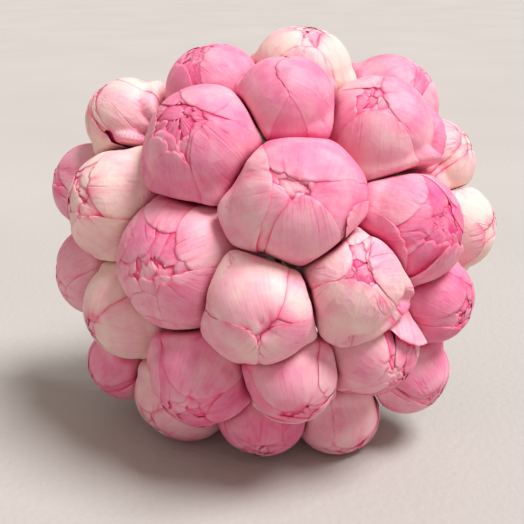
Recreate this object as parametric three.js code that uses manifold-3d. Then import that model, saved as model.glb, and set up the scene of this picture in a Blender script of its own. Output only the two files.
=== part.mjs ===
// A bunch of cut peonies in bud, laid down on a table. Millimetres, +Z up.
//
// Twenty-seven fat buds make a round head. Each bud is a ball of petals wrapped over one another, on a stem of
// its own with a green calyx, and the stems lean in a spiral through one tie of twine and end in a cut below it.
// The head and the lowest stem ends rest on the table, so the head looks forward (-Y) and a little up.
import * as THREE from "three";
import { mergeVertices } from "three/addons/utils/BufferGeometryUtils.js";
import Module from "manifold-3d";

const wasm = await Module();
wasm.setup();

const RADIANS = Math.PI / 180;

// ---- Driving dimensions -------------------------------------------------------------------------------------

// The bunch's own frame: +Z along the stems and out of the middle of the head, +Y up and +X right, as it is seen
// by an eye that looks straight at the head. Its origin is the heart, the middle of the round head.
const HEAD_RADIUS = 150; // from the heart to the outside of a bud
const EYE_DISTANCE = 560; // from the heart to the eye
const EYE_FOCAL_PX = 784; // pixels of the picture for one unit of slope
const HEART_PX = { x: 275, y: 240 }; // where the heart is in the picture
const AXES_MEET = -25; // the buds point away from this place on the axis
const PRESSED = 0.93; // two buds that touch stand this share of their radii apart

// How the bunch lies on the table: on its lowest buds and its lowest stem end.
const TILT = 20.17 * RADIANS; // how far it looks up
const FLOOR_PRESS = 2.2; // how far the lowest bud is flattened where it rests

// A bud: a core with petals on it, all measured from the bud's middle.
const SWELL = 1.035; // its flat faces stand this share further out than its round radius, to hold as much
const WAIST = 0.1; // how much more than that it bulges at its sides, into the room between the buds
const CORE_TAPER = 0.14; // how much the core narrows to its base
const SKIN = 5.2; // room kept over the core for the petals
const PETAL_LOWEST = 2.3; // how far the innermost petal stands off the core
const PETAL_STEP = 0.9; // each petal lies this much over the one before it
const PETAL_ROOT = 152 * RADIANS; // where petals leave the core, from the bud's tip
const PETAL_DEPTH = 1.8; // how deep a petal's underside is sunk in the core
const PETAL_BELLY = 0.45; // where a petal is widest, from its root to its tip
const PETAL_GRID = { across: 3, along: 4 };
const CORE_GRID = { round: 8, down: 4 };
const RUFFLE = 1.2; // the crumpled heart of a bud
const TOUCH_GAP = 0.5; // between two buds that press on each other

// The stems, from bud to cut end.
const STEM_RADIUS = 3.1;
const STEM_PITCH = 6.75; // between two stems in the tie
const STEM_SIDES = 5;
const STEM_STEPS = 6;
const HELD_Z = -142; // the bends end just above the tie
const TIE_Z = -150;
const CUT_Z = -285;
const SPREAD = 1.55; // how much wider the cut ends stand than the tie
const SPIRAL = 50 * RADIANS; // how far the stems turn from the tie to the cut
const SEPALS = 5;
const CALYX_GAP = 1.1; // between a bud's core and its calyx, which is cut in flatter faces
const CALYX_SKIN = 1.5; // thickness of the green cup
const SEPAL_LIFT = 4; // how far the sepals' tips stand off

// The twine round the stems.
const TWINE = 2.6;
const TWINE_TURNS = 4;
const TIE_SIDES = 20;
const TIE_GAP = 0.4; // between the tie and the stems

// The leaves left on some of the outer stems, each of three leaflets on a stalk.
const LEAFLET = { length: 74, width: 27, thickness: 1.2, fold: 2.5, arch: 12, hub: 5, stations: [0.3, 0.62, 1] };
const LEAF_STALK = { length: 24, radius: 1.5 };
const LEAF_AT = 0.58; // where on its stem's bend a leaf grows, from the bud to the tie
const LEAF_RISE = 20 * RADIANS; // how far it points up along the bunch
const LEAF_FAN = 56 * RADIANS; // between the middle leaflet and the others

// ---- The buds, as the picture shows them ---------------------------------------------------------------------

// at: the bud's middle and its radius, in pixels. They run from the front of the head to the back.
// nods: how far its tip is turned aside, to the right and up, as shares of its radius.
// wraps: its outer petals from the inner to the outer one, as [turn, reach, spread] in degrees. turn is the side
// that the petal comes from, anticlockwise from the right, reach is how far its tip stops short of the bud's own
// tip, and spread is half its width.
const BUDS = [
  { at: [294, 203, 59], shade: "rose", wraps: [[10, 8, 60], [80, 9, 66], [176, 25, 60], [278, 4, 38]] },
  { at: [261, 310, 50], shade: "blush", wraps: [[40, 24, 48], [112, -8, 54], [222, 8, 44], [318, 10, 44]] },
  { at: [205, 145, 55], shade: "rose", wraps: [[55, 12, 60], [180, 34, 40], [252, 36, 32], [318, 22, 44]] },
  { at: [186, 262, 63], shade: "pink", wraps: [[78, 34, 42], [28, 28, 40], [318, 15, 44], [262, 46, 40]] },
  {
    at: [351, 283, 48], shade: "cream", nods: [-0.24, 0.36],
    wraps: [[98, 40, 34], [18, 14, 50], [150, 12, 44], [255, 5, 62]],
  },
  { at: [286, 101, 44], shade: "rose", wraps: [[272, 2, 50], [192, -14, 60], [350, -16, 58]] },
  {
    at: [376, 131, 51], shade: "pink", nods: [-0.5, 0.05],
    wraps: [[95, 8, 55], [8, 2, 62], [190, 24, 44], [262, 22, 48]],
  },
  { at: [408, 228, 52], shade: "rose", wraps: [[50, 20, 50], [140, 34, 54], [205, 52, 50], [283, 18, 34]] },
  { at: [120, 204, 50], shade: "cream", wraps: [[200, 40, 40], [100, 28, 52], [15, 24, 60], [290, 30, 44]] },
  { at: [131, 309, 45], shade: "cream", wraps: [[250, 20, 45], [85, 10, 52], [345, 6, 56]] },
  { at: [203, 375, 48], shade: "pink", wraps: [[350, 26, 40], [250, 34, 50], [165, 30, 42], [72, 24, 54]] },
  { at: [291, 378, 42], shade: "blush", wraps: [[260, 30, 50], [105, -6, 50], [25, 40, 36], [325, 30, 34]] },
  { at: [371, 347, 44], shade: "pink", wraps: [[300, 35, 40], [20, 40, 35], [160, 15, 60], [58, 26, 34]] },
  { at: [125, 118, 37], shade: "cream", leaf: true },
  { at: [92, 184, 38], shade: "rose" },
  { at: [97, 270, 40], shade: "pink", leaf: true },
  { at: [185, 392, 46], shade: "pink" },
  { at: [124, 362, 34], shade: "rose" },
  { at: [262, 413, 41], shade: "rose" },
  { at: [338, 413, 39], shade: "rose" },
  { at: [408, 372, 38], shade: "pink" },
  { at: [433, 299, 39], shade: "rose", leaf: true },
  { at: [457, 226, 38], shade: "cream" },
  { at: [436, 159, 37], shade: "cream" },
  { at: [391, 102, 44], shade: "rose" },
  { at: [302, 72, 45], shade: "cream", leaf: true },
  { at: [214, 90, 44], shade: "rose" },
];

const TIP = new THREE.Vector3(0, 0, 1);

// A bud in its own frame: +Z is its tip. walls are the planes on which its neighbours press.
const buds = [];

// Where a bud stands: the first place on the eye's line through its middle where it is inside the round of the
// head, or nearly, and clear of the buds in front of it.
function standing([x, y, radiusPx]) {
  const line = new THREE.Vector3((x - HEART_PX.x) / EYE_FOCAL_PX, (HEART_PX.y - y) / EYE_FOCAL_PX, -1);
  const step = 0.5;
  const onLine = (depth) => line.clone().multiplyScalar(depth).setZ(EYE_DISTANCE - depth);
  const radius = (depth) => (radiusPx * depth) / EYE_FOCAL_PX;
  const outside = (depth) => onLine(depth).length() + radius(depth) - HEAD_RADIUS;
  const crowded = (depth) =>
    buds.some((bud) => bud.centre.distanceTo(onLine(depth)) < PRESSED * (bud.radius + radius(depth)));
  let depth = EYE_DISTANCE - HEAD_RADIUS;
  while (outside(depth) > 0 && outside(depth + step) < outside(depth)) depth += step;
  while (crowded(depth)) depth += step;
  return { centre: onLine(depth), radius: radius(depth) };
}

for (const plan of BUDS) {
  const { centre, radius } = standing(plan.at);
  const [right, up] = plan.nods ?? [0, 0];
  const axis = centre.clone().sub(new THREE.Vector3(0, 0, AXES_MEET)).normalize();
  axis.add(new THREE.Vector3(right, up, 0)).normalize();
  const turn = new THREE.Quaternion().setFromUnitVectors(TIP, axis);
  const name = String(buds.length + 1).padStart(2, "0");
  buds.push({ ...plan, name, index: buds.length, centre, radius, size: SWELL * radius, axis, turn, walls: [] });
}

// Two buds that would overlap share a flat place, nearer to the smaller of them.
function pressTogether(a, b) {
  const between = b.centre.clone().sub(a.centre);
  const distance = between.length();
  if (distance > (1 + WAIST) * (a.size + b.size) + TOUCH_GAP) return;
  between.normalize();
  const fromA = (distance * distance + a.size * a.size - b.size * b.size) / (2 * distance);
  const inFrame = (bud, normal) => normal.clone().applyQuaternion(bud.turn.clone().invert());
  a.walls.push({ normal: inFrame(a, between), away: fromA - TOUCH_GAP / 2 });
  b.walls.push({ normal: inFrame(b, between.clone().negate()), away: distance - fromA - TOUCH_GAP / 2 });
}
buds.forEach((a, i) => buds.slice(i + 1).forEach((b) => pressTogether(a, b)));

// ---- The shape of a bud ---------------------------------------------------------------------------------------

// The point of a bud in a direction, at a height over its core. The walls draw all heights in alike.
function onBud(bud, direction, height) {
  const fromTip = Math.acos(THREE.MathUtils.clamp(direction.z, -1, 1));
  const taper = THREE.MathUtils.smoothstep(fromTip, 1.7, Math.PI);
  const core = (bud.size * (1 + WAIST * Math.sin(fromTip) ** 2) - SKIN) * (1 - CORE_TAPER * taper);
  let share = 1;
  for (const { normal, away } of bud.walls) {
    const facing = direction.dot(normal);
    if (facing > 0) share = Math.min(share, away / facing / (core + SKIN));
  }
  return direction.clone().multiplyScalar((core + height) * share);
}

// The direction of a place on a petal: u runs across it from -1 to 1, v from its root at 0 to its tip at 1.
function petalDirection([turn, reach, spread], u, v) {
  const k = Math.max(0, (v - PETAL_BELLY) / (1 - PETAL_BELLY));
  const narrow = v < PETAL_BELLY ? 0.25 + 0.75 * Math.sin((Math.PI / 2) * (v / PETAL_BELLY)) : 1;
  const x = u * narrow * Math.sqrt(1 - (k * k) / 2);
  const y = v < PETAL_BELLY ? v : PETAL_BELLY + (1 - PETAL_BELLY) * k * Math.sqrt(1 - (u * u) / 2);
  const fromTip = PETAL_ROOT + (reach * RADIANS - PETAL_ROOT) * y;
  const aside = x * spread * RADIANS;
  const a = turn * RADIANS;
  const ahead = new THREE.Vector3(Math.cos(a), Math.sin(a), 0).multiplyScalar(Math.sin(fromTip));
  const across = new THREE.Vector3(-Math.sin(a), Math.cos(a), 0);
  ahead.setZ(Math.cos(fromTip));
  return ahead.multiplyScalar(Math.cos(aside)).addScaledVector(across, Math.sin(aside));
}

// A closed solid from points and triangles, with its faces pointing out.
function solid(points, triangles) {
  const made = (faces) =>
    new wasm.Manifold(
      new wasm.Mesh({
        numProp: 3,
        vertProperties: new Float32Array(points.flatMap((p) => p.toArray())),
        triVerts: new Uint32Array(faces.flat()),
      }),
    );
  const first = made(triangles);
  return first.volume() > 0 ? first : made(triangles.map(([a, b, c]) => [a, c, b]));
}

// The core: rings of points from the tip to the base. Its top is crumpled where the petals leave it open.
function coreSolid(bud) {
  const { round, down } = CORE_GRID;
  const points = [onBud(bud, TIP, 0)];
  for (let ring = 1; ring < down; ring++) {
    const fromTip = (Math.PI * ring) / down;
    for (let k = 0; k < round; k++) {
      const a = (2 * Math.PI * k) / round;
      const direction = new THREE.Vector3(Math.cos(a), Math.sin(a), 0).multiplyScalar(Math.sin(fromTip));
      direction.setZ(Math.cos(fromTip));
      const crumple = ring === 1 ? RUFFLE * (k % 2 ? 1 : -1) : 0;
      points.push(onBud(bud, direction, crumple));
    }
  }
  points.push(onBud(bud, TIP.clone().negate(), 0));
  const last = points.length - 1;
  const at = (ring, k) => 1 + (ring - 1) * round + (k % round);
  const triangles = [];
  for (let k = 0; k < round; k++) {
    triangles.push([0, at(1, k), at(1, k + 1)]);
    triangles.push([last, at(down - 1, k + 1), at(down - 1, k)]);
    for (let ring = 1; ring < down - 1; ring++) {
      triangles.push([at(ring, k), at(ring + 1, k), at(ring + 1, k + 1)]);
      triangles.push([at(ring, k), at(ring + 1, k + 1), at(ring, k + 1)]);
    }
  }
  return solid(points, triangles);
}

// One petal: a curved plate that stands on the core. Its root is sunk in the core, and so is all below its rim.
function petalSolid(bud, wrap, order) {
  const { across, along } = PETAL_GRID;
  const level = PETAL_LOWEST + PETAL_STEP * order;
  const points = [];
  for (let j = 0; j <= along; j++) {
    for (let i = 0; i <= across; i++) {
      const v = j / along;
      const height = THREE.MathUtils.lerp(-PETAL_DEPTH, level, THREE.MathUtils.smoothstep(v, 0, 0.4));
      points.push(onBud(bud, petalDirection(wrap, (2 * i) / across - 1, v), height));
    }
  }
  const row = across + 1;
  const middle = points.length;
  points.push(new THREE.Vector3());
  const triangles = [];
  for (let j = 0; j < along; j++) {
    for (let i = 0; i < across; i++) {
      const a = j * row + i;
      triangles.push([a, a + 1, a + row + 1], [a, a + row + 1, a + row]);
    }
  }
  const rim = [];
  for (let i = 0; i < across; i++) rim.push(i);
  for (let j = 0; j < along; j++) rim.push(j * row + across);
  for (let i = across; i > 0; i--) rim.push(along * row + i);
  for (let j = along; j > 0; j--) rim.push(j * row);
  rim.forEach((a, k) => triangles.push([rim[(k + 1) % rim.length], a, middle]));
  return solid(points, triangles);
}

// Buds at the back and the sides carry the same four petals, turned from bud to bud by the golden angle.
const GOLDEN_ANGLE = 137.5;
function wrapsOf(bud) {
  if (bud.wraps) return bud.wraps;
  const first = bud.index * GOLDEN_ANGLE;
  return [[first, 12, 58], [first + 130, 18, 56], [first + 245, 24, 52], [first + 65, 38, 46]];
}

function budSolid(bud) {
  return wrapsOf(bud).reduce((whole, wrap, order) => whole.add(petalSolid(bud, wrap, order)), coreSolid(bud));
}

// ---- The stems ------------------------------------------------------------------------------------------------

// Where the stems stand in the tie: each starts under its own bud, all are drawn in, and any two that come too
// close are pushed apart.
function inTheTie() {
  const drawnIn = 0.22;
  const places = buds.map(({ centre }) => new THREE.Vector2(centre.x, centre.y).multiplyScalar(drawnIn));
  const rounds = 900;
  for (let round = 0; round < rounds; round++) {
    if (round < (2 * rounds) / 3) for (const place of places) place.multiplyScalar(0.99);
    places.forEach((here, i) => {
      for (const there of places.slice(i + 1)) {
        const apart = there.clone().sub(here);
        const distance = apart.length();
        if (distance >= STEM_PITCH) continue;
        apart.multiplyScalar((STEM_PITCH - distance) / distance / 2);
        here.sub(apart);
        there.add(apart);
      }
    });
  }
  return places;
}
const tiePlaces = inTheTie();

// A stem's middle at a height near the tie or below it, where it is straight.
function straightStem(index, z) {
  const tied = tiePlaces[index];
  const cut = tied.clone().rotateAround(new THREE.Vector2(), SPIRAL).multiplyScalar(SPREAD);
  const spot = tied.clone().lerp(cut, (z - TIE_Z) / (CUT_Z - TIE_Z));
  return new THREE.Vector3(spot.x, spot.y, z);
}

// The bend of a stem: straight out of its bud's base and round into the straight stretch that the tie holds.
function stemBend(bud) {
  const foot = onBud(bud, TIP.clone().negate(), CALYX_GAP).length();
  const base = bud.centre.clone().addScaledVector(bud.axis, -foot);
  const held = straightStem(bud.index, HELD_Z);
  const onward = straightStem(bud.index, CUT_Z).sub(held).normalize();
  const reach = base.distanceTo(held);
  return new THREE.CubicBezierCurve3(
    base,
    base.clone().addScaledVector(bud.axis, -0.22 * reach),
    held.clone().addScaledVector(onward, -0.38 * reach),
    held,
  );
}

// The whole line of a stem, with one step for its straight stretch and the others in its bend.
class StemLine extends THREE.Curve {
  constructor(bend, cut, steps) {
    super();
    this.bend = bend;
    this.straight = new THREE.LineCurve3(bend.v3, cut);
    this.turn = (steps - 1) / steps;
  }
  getPoint(t) {
    if (t < this.turn) return this.bend.getPoint(t / this.turn);
    return this.straight.getPoint((t - this.turn) / (1 - this.turn));
  }
  getUtoTmapping(u) {
    return u;
  }
}

// A three.js geometry as a solid, with its doubled vertices merged.
function solidFrom(geometry) {
  const bare = new THREE.BufferGeometry().setAttribute("position", geometry.getAttribute("position"));
  if (geometry.index) bare.setIndex(geometry.index);
  const merged = mergeVertices(bare, 1e-4);
  return new wasm.Manifold(
    new wasm.Mesh({
      numProp: 3,
      vertProperties: new Float32Array(merged.attributes.position.array),
      triVerts: new Uint32Array(merged.index.array),
    }),
  );
}

function tube(curve, radius, sides, steps) {
  const section = new THREE.Shape();
  for (let k = 0; k < sides; k++) {
    const a = (2 * Math.PI * k) / sides;
    if (k === 0) section.moveTo(radius, 0);
    else section.lineTo(radius * Math.cos(a), radius * Math.sin(a));
  }
  section.closePath();
  return solidFrom(new THREE.ExtrudeGeometry(section, { steps, bevelEnabled: false, extrudePath: curve }));
}

// The calyx: a green cup under the bud, with five pointed sepals that stand off it.
function calyxSolid(bud) {
  const count = 2 * SEPALS;
  const ring = (fromTip, height) =>
    Array.from({ length: count }, (_, k) => {
      const a = (Math.PI * k) / SEPALS + bud.index;
      const down = fromTip(k % 2) * RADIANS;
      const direction = new THREE.Vector3(Math.cos(a), Math.sin(a), 0).multiplyScalar(Math.sin(down));
      direction.setZ(Math.cos(down));
      return onBud(bud, direction, height(k % 2));
    });
  const foot = TIP.clone().negate();
  const shell = (skin) => [
    onBud(bud, foot, skin),
    ...ring(() => 160, () => skin),
    ...ring((notch) => (notch ? 152 : 128), (notch) => (notch ? skin : skin + SEPAL_LIFT)),
  ];
  const outer = shell(CALYX_GAP + CALYX_SKIN);
  const inner = shell(CALYX_GAP);
  const triangles = [];
  for (let k = 0; k < count; k++) {
    const next = (k + 1) % count;
    const [a, b, c, d] = [1 + k, 1 + next, 1 + count + k, 1 + count + next];
    const skin = [[0, b, a], [a, b, d], [a, d, c]];
    triangles.push(...skin, ...skin.map((face) => face.map((i) => i + outer.length).reverse()));
    triangles.push([c, d, d + outer.length], [c, d + outer.length, c + outer.length]);
  }
  return solid([...outer, ...inner], triangles);
}

// ---- The leaves -----------------------------------------------------------------------------------------------

// A leaf on the outer side of a stem: a stalk, and one thin blade cut into three leaflets that fan out from its
// end. Each leaflet is folded along its rib and arched along its length.
function leafSolid(bend) {
  const from = bend.getPoint(LEAF_AT);
  const out = new THREE.Vector3(from.x, from.y, 0).normalize();
  const ahead = out.clone().multiplyScalar(Math.cos(LEAF_RISE)).addScaledVector(TIP, Math.sin(LEAF_RISE));
  const aside = TIP.clone().cross(out);
  const up = ahead.clone().cross(aside);
  const end = from.clone().addScaledVector(ahead, LEAF_STALK.length);
  const spot = (angle, along, off, rise) =>
    end
      .clone()
      .addScaledVector(ahead, along * Math.cos(angle) - off * Math.sin(angle))
      .addScaledVector(aside, along * Math.sin(angle) + off * Math.cos(angle))
      .addScaledVector(up, rise);
  const blade = (sunk) => {
    const hub = [
      spot(0, 0, 0, 0),
      ...[-1.6, -0.5, 0.5, 1.6].map((share) => spot(share * LEAF_FAN, LEAFLET.hub, 0, LEAFLET.fold / 2)),
    ];
    const leaflets = [-1, 0, 1].flatMap((side) => {
      const size = side ? 0.8 : 1;
      return LEAFLET.stations.flatMap((t) => {
        const half = (LEAFLET.width / 2) * size * Math.sin(Math.PI * Math.pow(t, 0.9));
        const rise = LEAFLET.arch * size * (4 * t * (1 - t) - t);
        const across = t < 1 ? [-1, 0, 1] : [0];
        return across.map((edge) =>
          spot(side * LEAF_FAN, LEAFLET.length * size * t, edge * half, rise + Math.abs(edge) * LEAFLET.fold),
        );
      });
    });
    return [...hub, ...leaflets].map((point) => point.addScaledVector(up, LEAFLET.thickness * (0.5 - sunk)));
  };
  const points = [...blade(0), ...blade(1)];
  const under = points.length / 2;
  const perLeaflet = 3 * (LEAFLET.stations.length - 1) + 1;
  const upper = [[0, 1, 4]];
  const rim = [];
  for (const leaflet of [0, 1, 2]) {
    const first = 5 + leaflet * perLeaflet;
    const tip = first + perLeaflet - 1;
    const rows = [[leaflet + 1, 0, leaflet + 2]];
    for (let i = first; i < tip; i += 3) rows.push([i, i + 1, i + 2]);
    rows.slice(1).forEach(([d, e, f], j) => {
      const [a, b, c] = rows[j];
      upper.push([a, b, e], [a, e, d], [b, c, f], [b, f, e]);
    });
    const [d, e, f] = rows.at(-1);
    upper.push([d, e, tip], [e, f, tip]);
    rim.push(...rows.map(([left]) => left), tip, ...rows.slice(1).map(([, , right]) => right).reverse());
  }
  rim.push(4);
  const triangles = [...upper, ...upper.map((face) => face.map((i) => i + under).reverse())];
  rim.forEach((a, k) => {
    const b = rim[(k + 1) % rim.length];
    triangles.push([a, b, b + under], [a, b + under, a + under]);
  });
  const stalk = new THREE.LineCurve3(from, end.clone().addScaledVector(ahead, LEAFLET.hub / 2));
  return tube(stalk, LEAF_STALK.radius, 4, 1).add(solid(points, triangles));
}

function greenSolid(bud) {
  const bend = stemBend(bud);
  const line = new StemLine(bend, straightStem(bud.index, CUT_Z), STEM_STEPS);
  const stem = tube(line, STEM_RADIUS, STEM_SIDES, STEM_STEPS).add(moved(calyxSolid(bud), placeOf(bud)));
  return bud.leaf ? stem.add(leafSolid(bend)) : stem;
}

// ---- The tie --------------------------------------------------------------------------------------------------

// The twine's turns as one ring round all the stems, with a ridge for each turn. It is drawn tight, so it runs
// straight from one outer stem to the next: in each direction it lies off the stem that reaches furthest.
function tieSolid() {
  const height = TWINE * TWINE_TURNS;
  const profile = [{ z: -height / 2, off: 0 }, { z: height / 2, off: 0 }, { z: height / 2, off: 0.75 * TWINE }];
  for (let turn = TWINE_TURNS - 1; turn >= 0; turn--) {
    profile.push({ z: TWINE * (turn + 0.5) - height / 2, off: TWINE });
    profile.push({ z: TWINE * turn - height / 2, off: 0.6 * TWINE });
  }
  const points = profile.flatMap(({ z, off }) => {
    const stems = buds.map(({ index }) => straightStem(index, TIE_Z + z));
    return Array.from({ length: TIE_SIDES }, (_, k) => {
      const a = (2 * Math.PI * k) / TIE_SIDES;
      const way = new THREE.Vector3(Math.cos(a), Math.sin(a), 0);
      const furthest = stems.reduce((best, stem) => (stem.dot(way) > best.dot(way) ? stem : best));
      return furthest.clone().addScaledVector(way, STEM_RADIUS + TIE_GAP + off);
    });
  });
  const triangles = [];
  profile.forEach((_, j) => {
    const row = j * TIE_SIDES;
    const above = ((j + 1) % profile.length) * TIE_SIDES;
    for (let k = 0; k < TIE_SIDES; k++) {
      const next = (k + 1) % TIE_SIDES;
      triangles.push([row + k, row + next, above + next], [row + k, above + next, above + k]);
    }
  });
  return solid(points, triangles);
}

// ---- Laying it down -------------------------------------------------------------------------------------------

function geometryOf(made) {
  const { numProp, numVert, vertProperties, triVerts } = made.getMesh();
  const positions = new Float32Array(numVert * 3);
  for (let i = 0; i < numVert; i++) positions.set(vertProperties.subarray(i * numProp, i * numProp + 3), i * 3);
  return new THREE.BufferGeometry()
    .setAttribute("position", new THREE.BufferAttribute(positions, 3))
    .setIndex(new THREE.BufferAttribute(triVerts, 1));
}

function moved(made, matrix) {
  return solidFrom(geometryOf(made).applyMatrix4(matrix));
}

// From the bunch's frame to the table's: tipped forward until it lies down.
const laid = new THREE.Matrix4().makeRotationX(Math.PI / 2 - TILT);

const placeOf = (bud) => new THREE.Matrix4().compose(bud.centre, bud.turn, new THREE.Vector3(1, 1, 1));

function lowestOf(made, placed) {
  const points = geometryOf(made).applyMatrix4(laid.clone().multiply(placed)).getAttribute("position");
  return new THREE.Box3().setFromBufferAttribute(points).min.z;
}

const blooms = buds.map((bud) => budSolid(bud));
const floor = Math.min(...buds.map((bud, i) => lowestOf(blooms[i], placeOf(bud)))) + FLOOR_PRESS;

// What would reach through the table is cut off flat.
function onTheTable(made, placed) {
  if (lowestOf(made, placed) >= floor) return made;
  const size = 1000;
  const under = new THREE.BoxGeometry(size, size, size).translate(0, 0, floor - size / 2);
  return made.subtract(solidFrom(under.applyMatrix4(laid.clone().multiply(placed).invert())));
}

function part(name, made, colour, roughness, placed) {
  const geometry = geometryOf(onTheTable(made, placed));
  const mesh = new THREE.Mesh(geometry, new THREE.MeshStandardMaterial({ color: colour, roughness, metalness: 0 }));
  mesh.name = name;
  placed.decompose(mesh.position, mesh.quaternion, mesh.scale);
  return mesh;
}

const COLOURS = {
  rose: 0xe27aa4, pink: 0xe89ab0, blush: 0xf0b9c4, cream: 0xf6cdc6, green: 0x5c7f3a, twine: 0xc2a878,
};
const UNMOVED = new THREE.Matrix4();

const bunch = new THREE.Group();
bunch.name = "bunch_of_peonies";
bunch.add(part("tie", tieSolid(), COLOURS.twine, 0.9, UNMOVED));
buds.forEach((bud, i) => {
  bunch.add(part("bloom_" + bud.name, blooms[i], COLOURS[bud.shade], 0.6, placeOf(bud)));
  bunch.add(part("stem_" + bud.name, greenSolid(bud), COLOURS.green, 0.55, UNMOVED));
});

// The origin is on the table, under the middle of the whole bunch.
bunch.rotation.x = Math.PI / 2 - TILT;
bunch.updateMatrixWorld(true);
const middle = new THREE.Box3().setFromObject(bunch, true).getCenter(new THREE.Vector3());
bunch.position.set(-middle.x, -middle.y, -floor);

export default bunch;
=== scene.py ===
# %% [markdown]
# # A bunch of peonies in bud
#
# Twenty-seven closed peony buds make a round head, and their stems lean in a spiral through one tie of
# twine. The bunch has no vase, so it lies on a table. This lesson dresses the measured model of it in
# Blender. Every bud is wrapped again in fine petals, the stems get their calyces and leaves, and the
# tie gets its turns of twine.
#
# The first step is always the same: load the measured model, and keep its box. Nothing may grow past
# that box.

# %% Load the measured model
import bpy
import math
import numpy as np
from mathutils import Matrix, Vector


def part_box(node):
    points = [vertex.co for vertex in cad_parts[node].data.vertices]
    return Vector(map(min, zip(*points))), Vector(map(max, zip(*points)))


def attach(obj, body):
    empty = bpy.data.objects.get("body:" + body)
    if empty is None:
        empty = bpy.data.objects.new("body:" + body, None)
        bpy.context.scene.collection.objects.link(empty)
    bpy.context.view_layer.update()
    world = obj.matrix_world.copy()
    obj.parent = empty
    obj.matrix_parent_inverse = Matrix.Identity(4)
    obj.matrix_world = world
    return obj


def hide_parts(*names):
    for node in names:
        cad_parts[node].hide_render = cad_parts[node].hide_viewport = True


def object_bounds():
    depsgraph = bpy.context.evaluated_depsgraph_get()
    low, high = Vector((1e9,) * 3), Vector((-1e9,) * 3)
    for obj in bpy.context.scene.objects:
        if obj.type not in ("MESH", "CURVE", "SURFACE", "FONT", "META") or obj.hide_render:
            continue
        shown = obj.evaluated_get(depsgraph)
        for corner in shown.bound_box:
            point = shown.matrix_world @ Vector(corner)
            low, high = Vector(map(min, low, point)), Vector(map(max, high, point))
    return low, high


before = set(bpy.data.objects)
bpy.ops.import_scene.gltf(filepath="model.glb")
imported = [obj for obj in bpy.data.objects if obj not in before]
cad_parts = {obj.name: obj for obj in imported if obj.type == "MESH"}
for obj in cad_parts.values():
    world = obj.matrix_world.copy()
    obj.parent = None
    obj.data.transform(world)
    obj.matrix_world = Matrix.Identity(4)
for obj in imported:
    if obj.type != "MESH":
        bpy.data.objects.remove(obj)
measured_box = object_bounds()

print("measured box:", [[round(value, 4) for value in corner] for corner in measured_box])

# %% [markdown]
# ## The bunch's own frame
#
# The head is easiest to describe as an eye sees it that looks straight at it. So there is a frame with
# its origin at the heart of the head: +X runs to the eye's right, +Y up, and +Z towards the eye, along
# the stems. A bud's middle is a place in the eye's picture, in pixels, and its depth follows from the
# round shape of the head.

# %% The head and the eye that looks at it
MM = 0.001
HEAD_RADIUS = 150 * MM  # from the heart to the outside of a bud
EYE_DISTANCE = 560 * MM  # from the heart to the eye
EYE_FOCAL_PX = 784  # pixels of the picture for one unit of slope
HEART_PX = (275, 240)  # where the heart is in the picture
PICTURE_PX = 524  # the picture is square
TILT = math.radians(20.17)  # how far the laid-down bunch looks up
AXES_MEET = Vector((0, 0, -25 * MM))  # the buds point away from this place on the axis
TIP = Vector((0, 0, 1))

# %% [markdown]
# ## Where each bud stands
#
# The buds are listed from the front of the head to the back, each with its middle and radius in the
# picture, in pixels, as `at_px`. A bud slides back along the eye's line until it is inside the round of
# the head and clear of the buds in front of it. The rule is the one that the measured model follows, so
# both put every bud in the same place.
#
# `wraps` are the large outer petals of a bud, from the inner to the outer one, each as [turn, reach,
# spread] in degrees. The turn is the side that the petal comes from, anticlockwise from the right. The
# reach is how far its tip stops short of the bud's own tip, and a negative one folds over it. The
# spread is half its width. What else a petal may name is explained where petals are draped. `tone` runs
# from 0, cream, to 1, deep rose, `heart` is how much deeper than that the innermost petals are, and
# `wrinkled` is how much fine relief a bud shows. Where `nods` is given, the bud leans to that side, and
# where `leaf` is, its stem keeps a leaf.

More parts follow.
